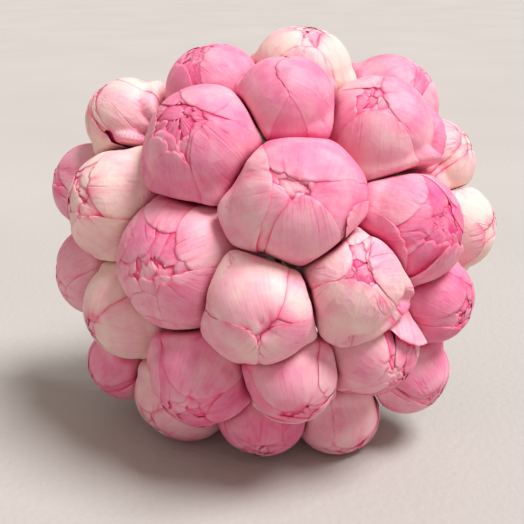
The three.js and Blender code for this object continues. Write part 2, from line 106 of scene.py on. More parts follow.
# %% The buds
BUDS = [
    {"at_px": (294, 203, 59), "shade": "rose", "tone": 0.44, "wrinkled": 0.45,
     "wraps": [[10, 8, 60], [205, 12, 34], [80, 9, 66, {"dome": 60}], [176, 25, 60],
               [278, 4, 38, {"dome": 60, "folds": 1}], [338, 50, 26, {"lift": 2}]]},
    {"at_px": (261, 310, 50), "shade": "blush", "tone": 0.25, "heart": 0.35, "wrinkled": 0.15,
     "wraps": [[40, 24, 48], [112, -8, 54, {"folds": 0, "pleats": 0, "crumple": 0.02, "dome": 120}],
               [222, 8, 44, {"folds": 2, "dome": 40}], [318, 10, 44, {"folds": 1, "dome": 60}]]},
    {"at_px": (205, 145, 55), "shade": "rose", "tone": 0.52, "wrinkled": 0.7,
     "wraps": [[55, 12, 60], [180, 34, 40], [225, 30, 34], [252, 36, 32], [318, 22, 44]]},
    {"at_px": (186, 262, 63), "shade": "pink", "tone": 0.44, "wrinkled": 0.8,
     "wraps": [[150, 34, 40], [78, 34, 42], [28, 28, 40], [318, 15, 44], [262, 46, 40]]},
    {"at_px": (351, 283, 48), "shade": "cream", "tone": 0.16, "heart": 0.55, "wrinkled": 1.2,
     "nods": (-0.24, 0.36),
     "wraps": [[98, 40, 34], [18, 14, 50], [150, 12, 44], [255, 5, 62]]},
    {"at_px": (286, 101, 44), "shade": "rose", "tone": 0.62, "wrinkled": 0.5,
     "wraps": [[272, 2, 50, {"dome": 30}], [192, -14, 60, {"dome": 30}], [350, -16, 58, {"dome": 30}]]},
    {"at_px": (376, 131, 51), "shade": "pink", "tone": 0.40, "nods": (-0.5, 0.05), "wrinkled": 0.5,
     "wraps": [[95, 8, 55], [8, 2, 62], [190, 24, 44], [262, 22, 48]]},
    {"at_px": (408, 228, 52), "shade": "rose", "tone": 0.62, "heart": 0.25, "wrinkled": 1.2,
     "wraps": [[50, 26, 46, {"crumple": 0.5}], [140, 34, 54, {"crumple": 0.3}],
               [205, 52, 50, {"stand": 0.9}], [283, 18, 38, {"lift": 3, "stand": 0.8, "tone": 0.5}]]},
    {"at_px": (120, 204, 50), "shade": "cream", "tone": 0.06, "heart": 0.15, "wrinkled": 0.9,
     "wraps": [[200, 40, 40], [100, 28, 52], [15, 24, 60],
               [290, 30, 46, {"lift": 3, "pleats": 1.0, "stand": 0.8}]]},
    {"at_px": (131, 309, 45), "shade": "cream", "tone": 0.08, "heart": 0.5, "wrinkled": 0.3,
     "wraps": [[250, 20, 45], [85, 10, 52, {"dome": 80, "folds": 1}],
               [345, 6, 56, {"dome": 80, "folds": 1}]]},
    {"at_px": (203, 375, 48), "shade": "pink", "tone": 0.56, "wrinkled": 0.8,
     "wraps": [[350, 26, 40], [250, 34, 50], [165, 30, 42], [72, 24, 54]]},
    {"at_px": (291, 378, 42), "shade": "blush", "tone": 0.35, "heart": 0.4, "wrinkled": 0.5,
     "wraps": [[260, 30, 50], [105, -6, 50, {"dome": 80, "folds": 2}], [25, 40, 36], [325, 30, 34]]},
    {"at_px": (371, 347, 44), "shade": "pink", "tone": 0.42, "wrinkled": 0.6,
     "wraps": [[300, 35, 40], [20, 40, 35], [160, 15, 60],
               [62, 38, 56, {"lift": 5, "pleats": 0.9, "stand": 0.8}]]},
    {"at_px": (125, 118, 37), "shade": "cream", "tone": 0.10, "leaf": True},
    {"at_px": (92, 184, 38), "shade": "rose", "tone": 0.45},
    {"at_px": (97, 270, 40), "shade": "pink", "tone": 0.42, "leaf": True},
    {"at_px": (185, 392, 46), "shade": "pink", "tone": 0.30},
    {"at_px": (124, 362, 34), "shade": "rose", "tone": 0.56},
    {"at_px": (262, 413, 41), "shade": "rose", "tone": 0.55},
    {"at_px": (338, 413, 39), "shade": "rose", "tone": 0.42},
    {"at_px": (408, 372, 38), "shade": "pink", "tone": 0.52},
    {"at_px": (433, 299, 39), "shade": "rose", "tone": 0.68, "leaf": True},
    {"at_px": (457, 226, 38), "shade": "cream", "tone": 0.08},
    {"at_px": (436, 159, 37), "shade": "cream", "tone": 0.04},
    {"at_px": (391, 102, 44), "shade": "rose", "tone": 0.44},
    {"at_px": (302, 72, 45), "shade": "cream", "tone": 0.04, "heart": 0.2, "leaf": True},
    {"at_px": (214, 90, 44), "shade": "rose", "tone": 0.62},
]
GOLDEN_ANGLE = 137.5  # degrees


def usual_wraps(index):
    """The large petals of a bud that the eye hardly sees, turned from bud to bud by the golden angle."""
    first = index * GOLDEN_ANGLE
    return [[first, 12, 58], [first + 130, 18, 56], [first + 245, 24, 52], [first + 65, 38, 46]]


# %% Stand the buds in the head
PRESSED = 0.93  # two buds that touch stand this share of their radii apart
SWELL = 1.01  # how much further the petals reach than the bud's radius
WAIST = 0.1  # how much more than that they bulge at its sides, into the room between the buds
SLIDE = 0.5 * MM  # the steps in which a bud slides back


def standing(plan, in_front):
    """The middle and the radius of a bud, in the bunch's frame."""
    x, y, radius_px = plan["at_px"]
    slope_x, slope_y = (x - HEART_PX[0]) / EYE_FOCAL_PX, (HEART_PX[1] - y) / EYE_FOCAL_PX

    def middle(depth):
        return Vector((slope_x * depth, slope_y * depth, EYE_DISTANCE - depth))

    def radius(depth):
        return radius_px * depth / EYE_FOCAL_PX

    def outside(depth):
        return middle(depth).length + radius(depth) - HEAD_RADIUS

    def crowded(depth):
        return any((bud["centre"] - middle(depth)).length < PRESSED * (bud["radius"] + radius(depth))
                   for bud in in_front)

    depth = EYE_DISTANCE - HEAD_RADIUS
    while outside(depth) > 0 and outside(depth + SLIDE) < outside(depth):
        depth += SLIDE
    while crowded(depth):
        depth += SLIDE
    return middle(depth), radius(depth)


buds = []
for number, plan in enumerate(BUDS):
    centre, radius = standing(plan, buds)
    axis = ((centre - AXES_MEET).normalized() + Vector((*plan.get("nods", (0, 0)), 0))).normalized()
    buds.append({
        "wraps": usual_wraps(number), **plan, "index": number, "name": f"{number + 1:02d}", "walls": [],
        "centre": centre, "radius": radius, "size": radius * SWELL, "axis": axis,
        "turn": TIP.rotation_difference(axis).to_matrix(),
    })
print("buds:", len(buds), "first at", [round(value, 4) for value in buds[0]["centre"]])

# %% [markdown]
# ## From the bunch's frame to the table
#
# The bunch is tipped forward until it lies on its lowest buds and on a stem end. How far it is tipped
# is known, and where its heart then is can be measured: the ring of the tie is worked out here in the
# bunch's frame, turned like the bunch, and set on the tie of the measured model.

# %% The stems' places in the tie
STEM_RADIUS = 3.1 * MM
STEM_PITCH = 6.75 * MM  # between two stems in the tie
HELD_Z, TIE_Z, CUT_Z = -142 * MM, -150 * MM, -285 * MM  # end of the bends, middle of the tie, cut ends
SPREAD = 1.55  # how much wider the cut ends stand than the tie
SPIRAL = math.radians(50)  # how far the stems turn from the tie to the cut
TWINE, TWINE_TURNS, TIE_GAP = 2.6 * MM, 4, 0.4 * MM
GATHERED = 0.22  # the share of its bud's offset at which a stem starts
DRAWN_IN = 0.99  # the share of its offset that a stem keeps in each round
ROUNDS, DRAWING_ROUNDS = 900, 600


def in_the_tie():
    """Each stem starts under its bud, all are drawn in, and two that come too close are pushed apart."""
    places = [bud["centre"].xy * GATHERED for bud in buds]
    for turn in range(ROUNDS):
        if turn < DRAWING_ROUNDS:
            for place in places:
                place *= DRAWN_IN
        for i, here in enumerate(places):
            for there in places[i + 1:]:
                apart = there - here
                if apart.length < STEM_PITCH:
                    apart *= (STEM_PITCH - apart.length) / apart.length / 2
                    here -= apart
                    there += apart
    return places


def straight_stem(index, z):
    """A stem's middle at a height where it is straight, near the tie or below it."""
    tied = tie_places[index]
    cut = Vector((tied.x * math.cos(SPIRAL) - tied.y * math.sin(SPIRAL),
                  tied.x * math.sin(SPIRAL) + tied.y * math.cos(SPIRAL))) * SPREAD
    spot = tied.lerp(cut, (z - TIE_Z) / (CUT_Z - TIE_Z))
    return Vector((spot.x, spot.y, z))


def round_the_stems(z, off, steps):
    """A loop that is drawn tight round all the stems at one height, off by so much from them."""
    stems = [straight_stem(bud["index"], z) for bud in buds]
    loop = []
    for k in range(steps):
        way = Vector((math.cos(math.tau * k / steps), math.sin(math.tau * k / steps), 0))
        furthest = max(stems, key=lambda stem: stem.dot(way))
        loop.append(furthest + way * (STEM_RADIUS + TIE_GAP + off))
    return loop


tie_places = in_the_tie()
print("stems within", round(max(place.length for place in tie_places) / MM, 1), "mm of the tie's middle")

# %% The heart's place over the table
TIE_SIDES = 20
TIE_ENDS = (0.6, 0.75)  # how far the tie stands off at its lower and upper end, as shares of the twine
tipped = Matrix.Rotation(math.pi / 2 - TILT, 4, "X")


def ring_of_the_tie():
    """The outside of the tie, ridge by ridge, as the measured model has it."""
    half = TWINE * TWINE_TURNS / 2
    levels = [(side * half, share * TWINE) for side, share in zip((-1, 1), TIE_ENDS)]
    levels += [(TWINE * (turn + 0.5) - half, TWINE) for turn in range(TWINE_TURNS)]
    return [point for z, off in levels for point in round_the_stems(TIE_Z + z, off, TIE_SIDES)]


def box_middle(points):
    return (Vector(map(min, zip(*points))) + Vector(map(max, zip(*points)))) / 2


tie_box = [Vector(corner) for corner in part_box("tie")]
heart = box_middle(tie_box) - box_middle([(tipped @ point)[:] for point in ring_of_the_tie()])
to_table = Matrix.Translation(heart) @ tipped
print("heart of the head over the table:", [round(value, 5) for value in heart])

# %% [markdown]
# ## Finishes
#
# Petals, green parts, twine and table all get a finish that is written as a chain of nodes, so a small
# writer comes first. It makes a node, fills in its inputs, and gives back its output, so that a finish
# reads like a sum.

# %% A small helper to write finishes
class Finish:
    """A material that is written down node by node."""

    def __init__(self, name, roughness, specular=0.5):
        self.material = bpy.data.materials.new(name)
        self.material.use_nodes = True
        self.tree = self.material.node_tree
        self.shader = self.tree.nodes["Principled BSDF"]
        self.shader.inputs["Roughness"].default_value = roughness
        self.shader.inputs["Specular IOR Level"].default_value = specular

    def add(self, kind, **settings):
        node = self.tree.nodes.new(kind)
        for key, value in settings.items():
            setattr(node, key, value)
        return node

    def fill(self, socket, source):
        if isinstance(source, bpy.types.NodeSocket):
            self.tree.links.new(source, socket)
        elif source is not None:
            socket.default_value = source

    def value_of(self, name):
        return self.add("ShaderNodeAttribute", attribute_name=name).outputs["Fac"]

    def maths(self, operation, a, b=None, c=None, clamp=False):
        node = self.add("ShaderNodeMath", operation=operation, use_clamp=clamp)
        for socket, source in zip(node.inputs, (a, b, c)):
            self.fill(socket, source)
        return node.outputs[0]

    def times(self, a, b):
        return self.maths("MULTIPLY", a, b)

    def rise(self, value, low, high):
        """0 up to low and 1 from high on, with a straight rise between them, or the other way round."""
        return self.maths("MULTIPLY", self.maths("SUBTRACT", value, low), 1 / (high - low), clamp=True)

    def mix(self, share, a, b):
        """A colour between two others. The node's sockets for colours come after those for numbers."""
        node = self.add("ShaderNodeMix", data_type="RGBA")
        for socket, source in ((node.inputs[0], share), (node.inputs[6], a), (node.inputs[7], b)):
            self.fill(socket, source)
        return node.outputs[2]

    def places(self):
        return self.add("ShaderNodeTexCoord").outputs["Object"]

    def stretched(self, across, along, uv_map=None):
        """A map of the piece, its own one if there is none, with so many cells of a pattern each way."""
        source = self.add("ShaderNodeUVMap", uv_map=uv_map).outputs["UV"] if uv_map else self.flat_map()
        node = self.add("ShaderNodeMapping")
        node.inputs["Scale"].default_value = (across, along, 1)
        self.tree.links.new(source, node.inputs["Vector"])
        return node.outputs["Vector"]

    def flat_map(self):
        """A map out of the values across and along, for pieces that a tree has grown."""
        node = self.add("ShaderNodeCombineXYZ")
        self.fill(node.inputs[0], self.value_of("across"))
        self.fill(node.inputs[1], self.value_of("along"))
        return node.outputs[0]

    def noise(self, scale, detail, vector, kind="FBM"):
        node = self.add("ShaderNodeTexNoise", noise_type=kind)
        node.inputs["Scale"].default_value = scale
        node.inputs["Detail"].default_value = detail
        if kind == "RIDGED_MULTIFRACTAL":
            node.inputs["Offset"].default_value = 1  # how sharp its ridges are
        self.tree.links.new(vector, node.inputs["Vector"])
        return node.outputs["Fac"]

    def ramp(self, share, stops):
        """A colour that runs through the stops, which are pairs of a share and a colour."""
        node = self.add("ShaderNodeValToRGB")
        elements = node.color_ramp.elements
        elements[0].position, elements[0].color = stops[0]
        elements[1].position, elements[1].color = stops[-1]
        for place, colour in stops[1:-1]:
            elements.new(place).color = colour
        self.tree.links.new(share, node.inputs["Fac"])
        return node.outputs["Color"]

    def translucent(self, weight, radius, scale):
        self.shader.inputs["Subsurface Weight"].default_value = weight
        self.shader.inputs["Subsurface Radius"].default_value = radius
        self.shader.inputs["Subsurface Scale"].default_value = scale

    def finish(self, colour, relief, strength, distance):
        """Links the colour, and the relief as bumps of that height."""
        bump = self.add("ShaderNodeBump")
        bump.inputs["Strength"].default_value = strength
        bump.inputs["Distance"].default_value = distance
        self.tree.links.new(relief, bump.inputs["Height"])
        self.tree.links.new(bump.outputs["Normal"], self.shader.inputs["Normal"])
        self.tree.links.new(colour, self.shader.inputs["Base Color"])
        return self.material


# %% [markdown]
# ## The camera and the light
#
# The camera is the eye of the bunch's frame. It looks down on the laid-down bunch along its stems, so
# the head is seen face on. Its lens gives the picture's slope for a pixel, and a small shift puts the
# heart a little off the middle. The light is a soft window above and a little to the right, and the
# pale room fills the shade.

# %% Camera
SENSOR_MM = 36


def add_camera():
    data = bpy.data.cameras.new("eye")
    data.sensor_width = SENSOR_MM
    data.lens = EYE_FOCAL_PX / PICTURE_PX * data.sensor_width
    data.shift_x = (PICTURE_PX / 2 - HEART_PX[0]) / PICTURE_PX
    data.shift_y = (HEART_PX[1] - PICTURE_PX / 2) / PICTURE_PX
    data.clip_start = 0.01
    camera = bpy.data.objects.new("eye", data)
    camera.matrix_world = to_table @ Matrix.Translation((0, 0, EYE_DISTANCE))
    bpy.context.collection.objects.link(camera)
    bpy.context.scene.camera = camera
    print("lens", round(data.lens, 1), "mm, shift", round(data.shift_x, 3), round(data.shift_y, 3))


add_camera()

# %% Floor, light and world
TABLE_WHITE, TABLE_SHADE = (0.445, 0.43, 0.39, 1), (0.42, 0.405, 0.368, 1)
TABLE_HALF = 30  # metres, so that its edge is out of sight
ROOM_TINT, ROOM_LIGHT = (1.0, 0.87, 0.83, 1), 0.52
WINDOW_SIDE, WINDOW_LIGHT = Vector((0.42, -0.1, 0.88)), 4.4
WINDOW_TINT, WINDOW_WIDTH = (0.97, 0.955, 1.0), math.radians(25)


def add_sun(name, side, strength, softness, colour):
    """Light from one side of the sky that is the same everywhere, as wide as it is soft."""
    data = bpy.data.lights.new(name, "SUN")
    data.energy, data.angle, data.color = strength, softness, colour
    light = bpy.data.objects.new(name, data)
    light.rotation_euler = (-side).to_track_quat("-Z", "Y").to_euler()
    bpy.context.collection.objects.link(light)


def add_floor():
    corners = [(x * TABLE_HALF, y * TABLE_HALF, 0) for x, y in ((-1, -1), (1, -1), (1, 1), (-1, 1))]
    mesh = bpy.data.meshes.new("floor")
    mesh.from_pydata(corners, [], [(0, 1, 2, 3)])
    floor = bpy.data.objects.new("floor", mesh)
    bpy.context.collection.objects.link(floor)
    made = Finish("pale_floor", roughness=0.9, specular=0.2)
    grain = made.noise(180, 5, made.places())
    clouds = made.noise(3, 2, made.places())
    colour = made.mix(made.rise(clouds, 0.3, 0.7), TABLE_WHITE, TABLE_SHADE)
    mesh.materials.append(made.finish(colour, grain, strength=0.5, distance=1.5 * MM))


def add_world():
    world = bpy.data.worlds.new("pale_room")
    world.use_nodes = True
    background = world.node_tree.nodes["Background"]
    background.inputs["Color"].default_value = ROOM_TINT
    background.inputs["Strength"].default_value = ROOM_LIGHT
    bpy.context.scene.world = world


add_floor()
add_world()
add_sun("window", WINDOW_SIDE, WINDOW_LIGHT, WINDOW_WIDTH, WINDOW_TINT)
bpy.context.scene.view_settings.view_transform = "Standard"
print("window", WINDOW_LIGHT, "and room", ROOM_LIGHT)

# %% [markdown]
# ## The shape of a bud
#
# Every bud is worked out in its own frame, with its tip up +Z, as heights over a slightly tapered core.
# Where two buds press on each other they share a flat place. All heights in a direction are drawn in
# alike there, so the layers stay in their order, and no petal can reach into the next bud. The table
# presses in the same way.

# %% Where buds press on each other
TOUCH_GAP = 0.5 * MM
SKIN = 5.2 * MM  # room kept over the core for the petals
CORE_TAPER = 0.14  # how much the core narrows to its base
ROOTS_SUNK = 0.85  # the share of their height that the petals lose towards their roots
PRESS_SHARPNESS = 20  # how suddenly a bud's side goes over into a pressed place
FILLS = 0.42  # the share of its size by which a bud may swell sideways into an empty corner between buds
NEVER_ZERO = 1e-6


def press_together(a, b):
    between = b["centre"] - a["centre"]
    distance = between.length
    if distance > (1 + WAIST + FILLS) * (a["size"] + b["size"]):
        return
    between.normalize()
    from_a = (distance ** 2 + a["size"] ** 2 - b["size"] ** 2) / (2 * distance)
    a["walls"].append((a["turn"].transposed() @ between, from_a - TOUCH_GAP / 2))
    b["walls"].append((b["turn"].transposed() @ -between, distance - from_a - TOUCH_GAP / 2))


def press_on_box(bud):
    """The table is the lowest side of the measured box. The others keep the outer buds inside it."""
    centre = to_table @ bud["centre"]
    for corner, side in zip(measured_box, (-1, 1)):
        for k in range(3):
            away = side * (corner[k] - centre[k])
            if away < (1 + WAIST) * bud["size"]:
                normal = tipped.to_3x3().transposed() @ Vector([side * (k == j) for j in range(3)])
                bud["walls"].append((bud["turn"].transposed() @ normal, away))


for i, bud in enumerate(buds):
    for other in buds[i + 1:]:
        press_together(bud, other)
    bud["neighbours"] = len(bud["walls"])
    press_on_box(bud)
print("pressed places:", sum(len(bud["walls"]) for bud in buds))

# %% Points on a bud
FAR = 9.0  # further than any wall
OPEN_CORNER = (1.25, 1.05)  # a corner is empty where the nearest wall is within so many sizes of the bud
PAST_WALL = 1.11  # how far past the wall a bud would swell there, so that it presses on it
SIDE_STARTS, SIDE_ENDS = (1.3, 1.7), (2.6, 2.2)  # where a bud's side is, in radians from its tip
CORE_NARROWS = 1.9  # from here on, in radians from the tip
ROOTS_SINK = (2.1, 2.8)


def smoothstep(value, low, high):
    """0 up to low, 1 from high on, and a soft rise between them."""
    t = np.clip((value - low) / (high - low), 0, 1)
    return t * t * (3 - 2 * t)


def size_towards(bud, way, from_tip):
    """How far a bud would reach: a ball with a waist, swollen into the corners behind its neighbours."""
    ball = bud["size"] * (1 + WAIST * np.sin(from_tip) ** 2)
    nearest = np.full_like(ball, FAR)
    for normal, away in bud["walls"]:
        nearest = np.minimum(nearest, away / np.maximum(way @ np.array(normal), NEVER_ZERO))
    corner = smoothstep(nearest, *((sizes + FILLS) * bud["size"] for sizes in OPEN_CORNER))
    behind = smoothstep(from_tip, *SIDE_STARTS) * smoothstep(from_tip, *SIDE_ENDS)
    filled = np.clip(nearest * PAST_WALL, ball, (1 + FILLS) * bud["size"])
    return ball + (filled - ball) * corner * behind


def squeezed(bud, way, reach, walls=None):
    """The share of its height that a place keeps where all walls, or the first ones, press on it."""
    crowd = np.ones(way.shape[:-1])
    for normal, away in bud["walls"][:walls]:
        crowd += (np.maximum(way @ np.array(normal), NEVER_ZERO) * reach / away) ** PRESS_SHARPNESS
    return crowd ** (-1 / PRESS_SHARPNESS)


def on_bud(bud, way, height, over=0):
    """Points in the directions way, each at its height among the petals, and so much over them."""
    from_tip = np.arccos(np.clip(way[..., 2], -1, 1))
    core = size_towards(bud, way, from_tip) - SKIN
    core *= 1 - CORE_TAPER * smoothstep(from_tip, CORE_NARROWS, math.pi)
    height = height * (1 - ROOTS_SUNK * smoothstep(from_tip, *ROOTS_SINK)) + over
    return way * ((core + height) * squeezed(bud, way, core + SKIN + over))[..., None]


# %% [markdown]
# ## How petals lie on each other
#
# A petal that is only lifted by a fixed step looks like a plate. Real ones are draped: each lies on
# whatever is under it, and its surface shows softly what it covers. So each bud keeps a map of how high
# its petals are piled up in every direction. A new petal reads the pile under it, is smoothed so that
# it hangs over the steps there, and is added to the pile. The map is the bud seen from its tip, opened
# out flat, so it is finest at the tip.

# %% The pile of petals
PILE_CELLS = 301
LAST_CELL = PILE_CELLS - 1.001  # a little before the last one, which has no next one
LEAST_FLAT = 1e-9  # so that the tip's own direction can be divided by, too


def pile_spots(way):
    """Where directions are in the map, in cells."""
    flat = np.hypot(way[..., 0], way[..., 1])
    out = np.arccos(np.clip(way[..., 2], -1, 1)) / math.pi / np.maximum(flat, LEAST_FLAT)
    return (way[..., :2] * out[..., None] * 0.5 + 0.5) * (PILE_CELLS - 1)


def cells_from_tip():
    """How far each cell of the map is from the bud's tip, as an angle."""
    line = np.linspace(-1, 1, PILE_CELLS)
    return np.hypot(*np.meshgrid(line, line)) * math.pi


def read_pile(pile, way):
    spots = np.clip(pile_spots(way), 0, LAST_CELL)
    low = spots.astype(int)
    part = spots - low
    x, y, s, t = low[..., 0], low[..., 1], part[..., 0], part[..., 1]
    return ((pile[x, y] * (1 - s) + pile[x + 1, y] * s) * (1 - t)
            + (pile[x, y + 1] * (1 - s) + pile[x + 1, y + 1] * s) * t)


def shifted(cells, dx, dy):
    padded = np.pad(cells, ((abs(dx),) * 2, (abs(dy),) * 2), mode="edge")
    first, second = abs(dx) + dx, abs(dy) + dy
    return padded[first:first + cells.shape[0], second:second + cells.shape[1]]


def widened(cells, reach):
    """Every cell takes the highest value near it."""
    for _ in range(reach):
        cells = np.maximum.reduce([cells, shifted(cells, 1, 0), shifted(cells, -1, 0)])
        cells = np.maximum.reduce([cells, shifted(cells, 0, 1), shifted(cells, 0, -1)])
    return cells


def smoothed(cells, rounds):
    for _ in range(rounds):
        cells = (shifted(cells, 1, 0) + 2 * cells + shifted(cells, -1, 0)) / 4
        cells = (shifted(cells, 0, 1) + 2 * cells + shifted(cells, 0, -1)) / 4
    return cells


# %% The outline of a petal
BELLY = 0.45  # where a petal is widest, from its root to its tip
ROOT_WIDTH = 0.25  # as a share of its widest
NOTCHES = 3


def petal_ways(petal, across, along):
    """The directions of places on a petal: from -1 to 1 across it, and from its root at 0 to its tip."""
    k = np.clip((along - BELLY) / (1 - BELLY), 0, 1)
    opening = ROOT_WIDTH + (1 - ROOT_WIDTH) * np.sin(math.pi / 2 * np.minimum(along / BELLY, 1))
    x = across * np.where(along < BELLY, opening, 1) * np.sqrt(1 - k * k / 2)
    y = np.where(along < BELLY, along, BELLY + (1 - BELLY) * k * np.sqrt(1 - across ** 2 / 2))
    y = y - petal["ragged"](across) * k ** 2
    from_tip = np.radians(petal["root"] + (petal["reach"] - petal["root"]) * y)
    aside = x * math.radians(petal["spread"])
    turn = math.radians(petal["turn"])
    out = np.sin(from_tip)
    ahead = np.stack([out * math.cos(turn), out * math.sin(turn), np.cos(from_tip)], -1)
    sideways = np.array([-math.sin(turn), math.cos(turn), 0])
    return ahead * np.cos(aside)[..., None] + sideways * np.sin(aside)[..., None]


def waves(chance, low, high, count):
    """A smooth random curve between -1 and 1, of so many waves with between low and high turns each."""
    turns = chance.uniform(low, high, count) * math.tau
    starts = chance.uniform(0, math.tau, count)
    return lambda t: sum(np.sin(turn * t + start) for turn, start in zip(turns, starts)) / count


def ragged_tip(chance, depth):
    """How far a petal's tip is cut back across its width: soft waves with a few narrow notches."""
    wave = waves(chance, 0.4, 1.6, 3)
    notches = [(chance.uniform(-0.8, 0.8), chance.uniform(0.04, 0.1), chance.uniform(0.3, 1))
               for _ in range(NOTCHES)]
    return lambda across: depth * (0.35 * wave(across) + sum(
        deep * np.exp(-((across - at) / wide) ** 2) for at, wide, deep in notches))


# %% [markdown]
# ## One petal
#
# A petal is a closed shell: an upper and an under side on one grid, joined round the rim, where it
# thins out. It is pleated a little along its length, its rim stands off in places, and it carries what
# its colour needs: how deep its tone is, how near the rim a place is, and its own map for the veins.
# Large petals are smoothed more than small ones, and some are so tight that they arch over all that
# they cover, like the shell of an egg: their `dome` is how often they are smoothed.

# %% Drape a petal
PETAL_THICK = 0.28 * MM
RIM_THINNER = 0.85  # the share of its thickness that a petal loses towards its rim
BREATH = 0.04 * MM  # the least room between two petals
USUAL_PETAL = {
    "root": 165,  # degrees from the bud's tip, under the calyx
    "taut": 2,  # how many cells of the map it spans without sagging
    "soft": 3,  # how often it is smoothed
    "pleats": 0.12,  # mm
    "folds": 6,
    "crumple": 0.08,  # mm
    "stand": 0.25,  # mm that its rim stands off in places
    "cup": 0,  # mm that its middle stands off
    "lift": 0,  # mm that its tip stands off
}
FOLD_DEEP = 0.45 * MM
CLEARANCE = 0.1 * MM  # how far a petal hangs over the place where it would lie
EVEN_SPREAD = 50  # degrees of spread at which a petal has as many steps across it as along it
MORE_ACROSS = 6  # steps that every petal has more than that
HOLLOWS = 0.3  # how much of their depth pleats and folds keep where they go inwards, onto the next petal
TIGHTEST = 96  # the share of the places under it, in %, that a petal with a `dome` clears by itself


def rim_of(across, along):
    """0 inside a petal, and 1 at its sides and its tip."""
    return np.maximum(np.abs(across) ** 6, np.clip((along - 0.5) / 0.5, 0, 1) ** 5)


def drape(bud, petal, way):
    """The heights at which a petal would cling to the pile, and at which it hangs over its steps."""
    near = read_pile(widened(bud["pile"], 1), way) + BREATH
    under = read_pile(widened(bud["pile"], petal["taut"]), way) + 2 * BREATH
    if "dome" in petal:
        smooth = smoothed(under, petal["dome"])
        return near, np.maximum(smooth + np.percentile(near - smooth, TIGHTEST), near)
    soft = smoothed(under, petal["soft"])
    lie = soft + smoothed(widened(np.maximum(under - soft, 0), 1), 1)
    return near, np.maximum(lie, under)


def folds(chance, count):
    """Soft creases that run along a petal, each over a part of its length."""
    lines = [(chance.uniform(-0.9, 0.9), chance.uniform(-0.4, 0.4), chance.uniform(0.035, 0.08),
              chance.uniform(0.3, 1), chance.uniform(0.12, 0.35), chance.uniform(-0.6, 1) * FOLD_DEEP)
             for _ in range(count)]
    return lambda across, along: sum(
        height * np.exp(-((across - at - lean * along) / wide) ** 2 - ((along - middle) / long) ** 2)
        for at, lean, wide, middle, long, height in lines)


def relief_of(petal, chance, across, along):
    """How far a petal's pleats, folds and crumples stand off."""
    relief = waves(chance, 0.8, 2.5, 4)(across) * np.sin(math.pi * along) * petal["pleats"] * MM
    relief += folds(chance, petal["folds"])(across, along)
    crumple = waves(chance, 2, 6, 5)(across + 0.7 * along) + waves(chance, 2, 5, 4)(1.3 * along - across)
    relief = relief + crumple / 2 * (petal["crumple"] * MM * (0.4 + along))
    return np.where(relief > 0, relief, HOLLOWS * relief)


# %% Colour values of a petal
DEEPER_WHERE_PRESSED = 0.5  # how much the tone deepens where the next bud is close: partly the bud's own deeper colour, partly painted shade
DEEPER_AT_THE_ROOTS = 0.3
CLOSE, IN_SHADE = (0.99, 0.88), (0.985, 0.915)  # the shares of its height that a place keeps there
TOWARDS_ROOTS = (1.35, 2.1)  # radians from the bud's tip
AT_THE_TIP = (0.86, 1)  # along the petal
USUALLY_WRINKLED = 0.75


def colour_values(bud, petal, way, across, along):
    kept = squeezed(bud, way, bud["size"] * (1 + WAIST), bud["neighbours"])
    from_tip = np.arccos(np.clip(way[..., 2], -1, 1))
    tone = petal["tone"] + DEEPER_WHERE_PRESSED * smoothstep(kept, *CLOSE)
    tone += DEEPER_AT_THE_ROOTS * smoothstep(from_tip, *TOWARDS_ROOTS)
    cut = petal["ragged"](across)
    nick = smoothstep(cut, 0.5 * cut.max(), cut.max()) * smoothstep(along, *AT_THE_TIP)
    # painted shade, darkest where the next bud is close
    return {"tone": tone, "nick": nick, "shade_between_buds": smoothstep(kept, *IN_SHADE),
            "wrinkled": np.full_like(tone, bud.get("wrinkled", USUALLY_WRINKLED))}


def petal_shell(bud, petal, chance, fine):
    """A petal as heights and colour values on a grid, laid on the bud's pile and then added to it."""
    count = (round(fine * petal["spread"] / EVEN_SPREAD) + MORE_ACROSS, fine)
    across, along = np.meshgrid(np.linspace(-1, 1, count[0] + 1), np.linspace(0, 1, count[1] + 1))
    way = petal_ways(petal, across, along)
    rim = rim_of(across, along)
    near, lie = drape(bud, petal, way)
    relief = relief_of(petal, chance, across, along)
    stand = np.clip(waves(chance, 0.3, 0.9, 3)(across + along), 0, 1) * rim * petal["stand"] * MM
    cup = petal["cup"] * MM * (1 - across ** 2) * np.sin(math.pi * np.clip(along * 1.1, 0, 1)) ** 2
    lie = lie + relief + CLEARANCE + cup
    lie = near + (lie - near) * (1 - rim) + stand
    thick = PETAL_THICK * (1 - RIM_THINNER * rim)
    add_to_pile(bud, petal, lie + thick)
    lift = petal["lift"] * MM * np.clip((along - 0.35) / 0.65, 0, 1) ** 2
    return {"way": way, "upper": lie + thick, "lower": lie, "over": lift, "rim": rim, "across": across,
            "along": along, **colour_values(bud, petal, way, across, along)}


def add_to_pile(bud, petal, top):
    """Marks the cells that a petal covers with its height, from samples finer than the cells."""
    finer = 5
    last_row, last_column = (size - 1.001 for size in top.shape)
    a, b = np.meshgrid(np.linspace(0, last_column, top.shape[1] * finer),
                       np.linspace(0, last_row, top.shape[0] * finer))
    i, j = a.astype(int), b.astype(int)
    s, t = a - i, b - j
    height = ((top[j, i] * (1 - s) + top[j, i + 1] * s) * (1 - t)
              + (top[j + 1, i] * (1 - s) + top[j + 1, i + 1] * s) * t)
    way = petal_ways(petal, a / last_column * 2 - 1, b / last_row)
    spots = np.rint(pile_spots(way)).astype(int)
    layer = np.zeros_like(bud["pile"])
    np.maximum.at(layer, (spots[..., 0], spots[..., 1]), height)
    bud["pile"] = np.maximum(bud["pile"], layer)
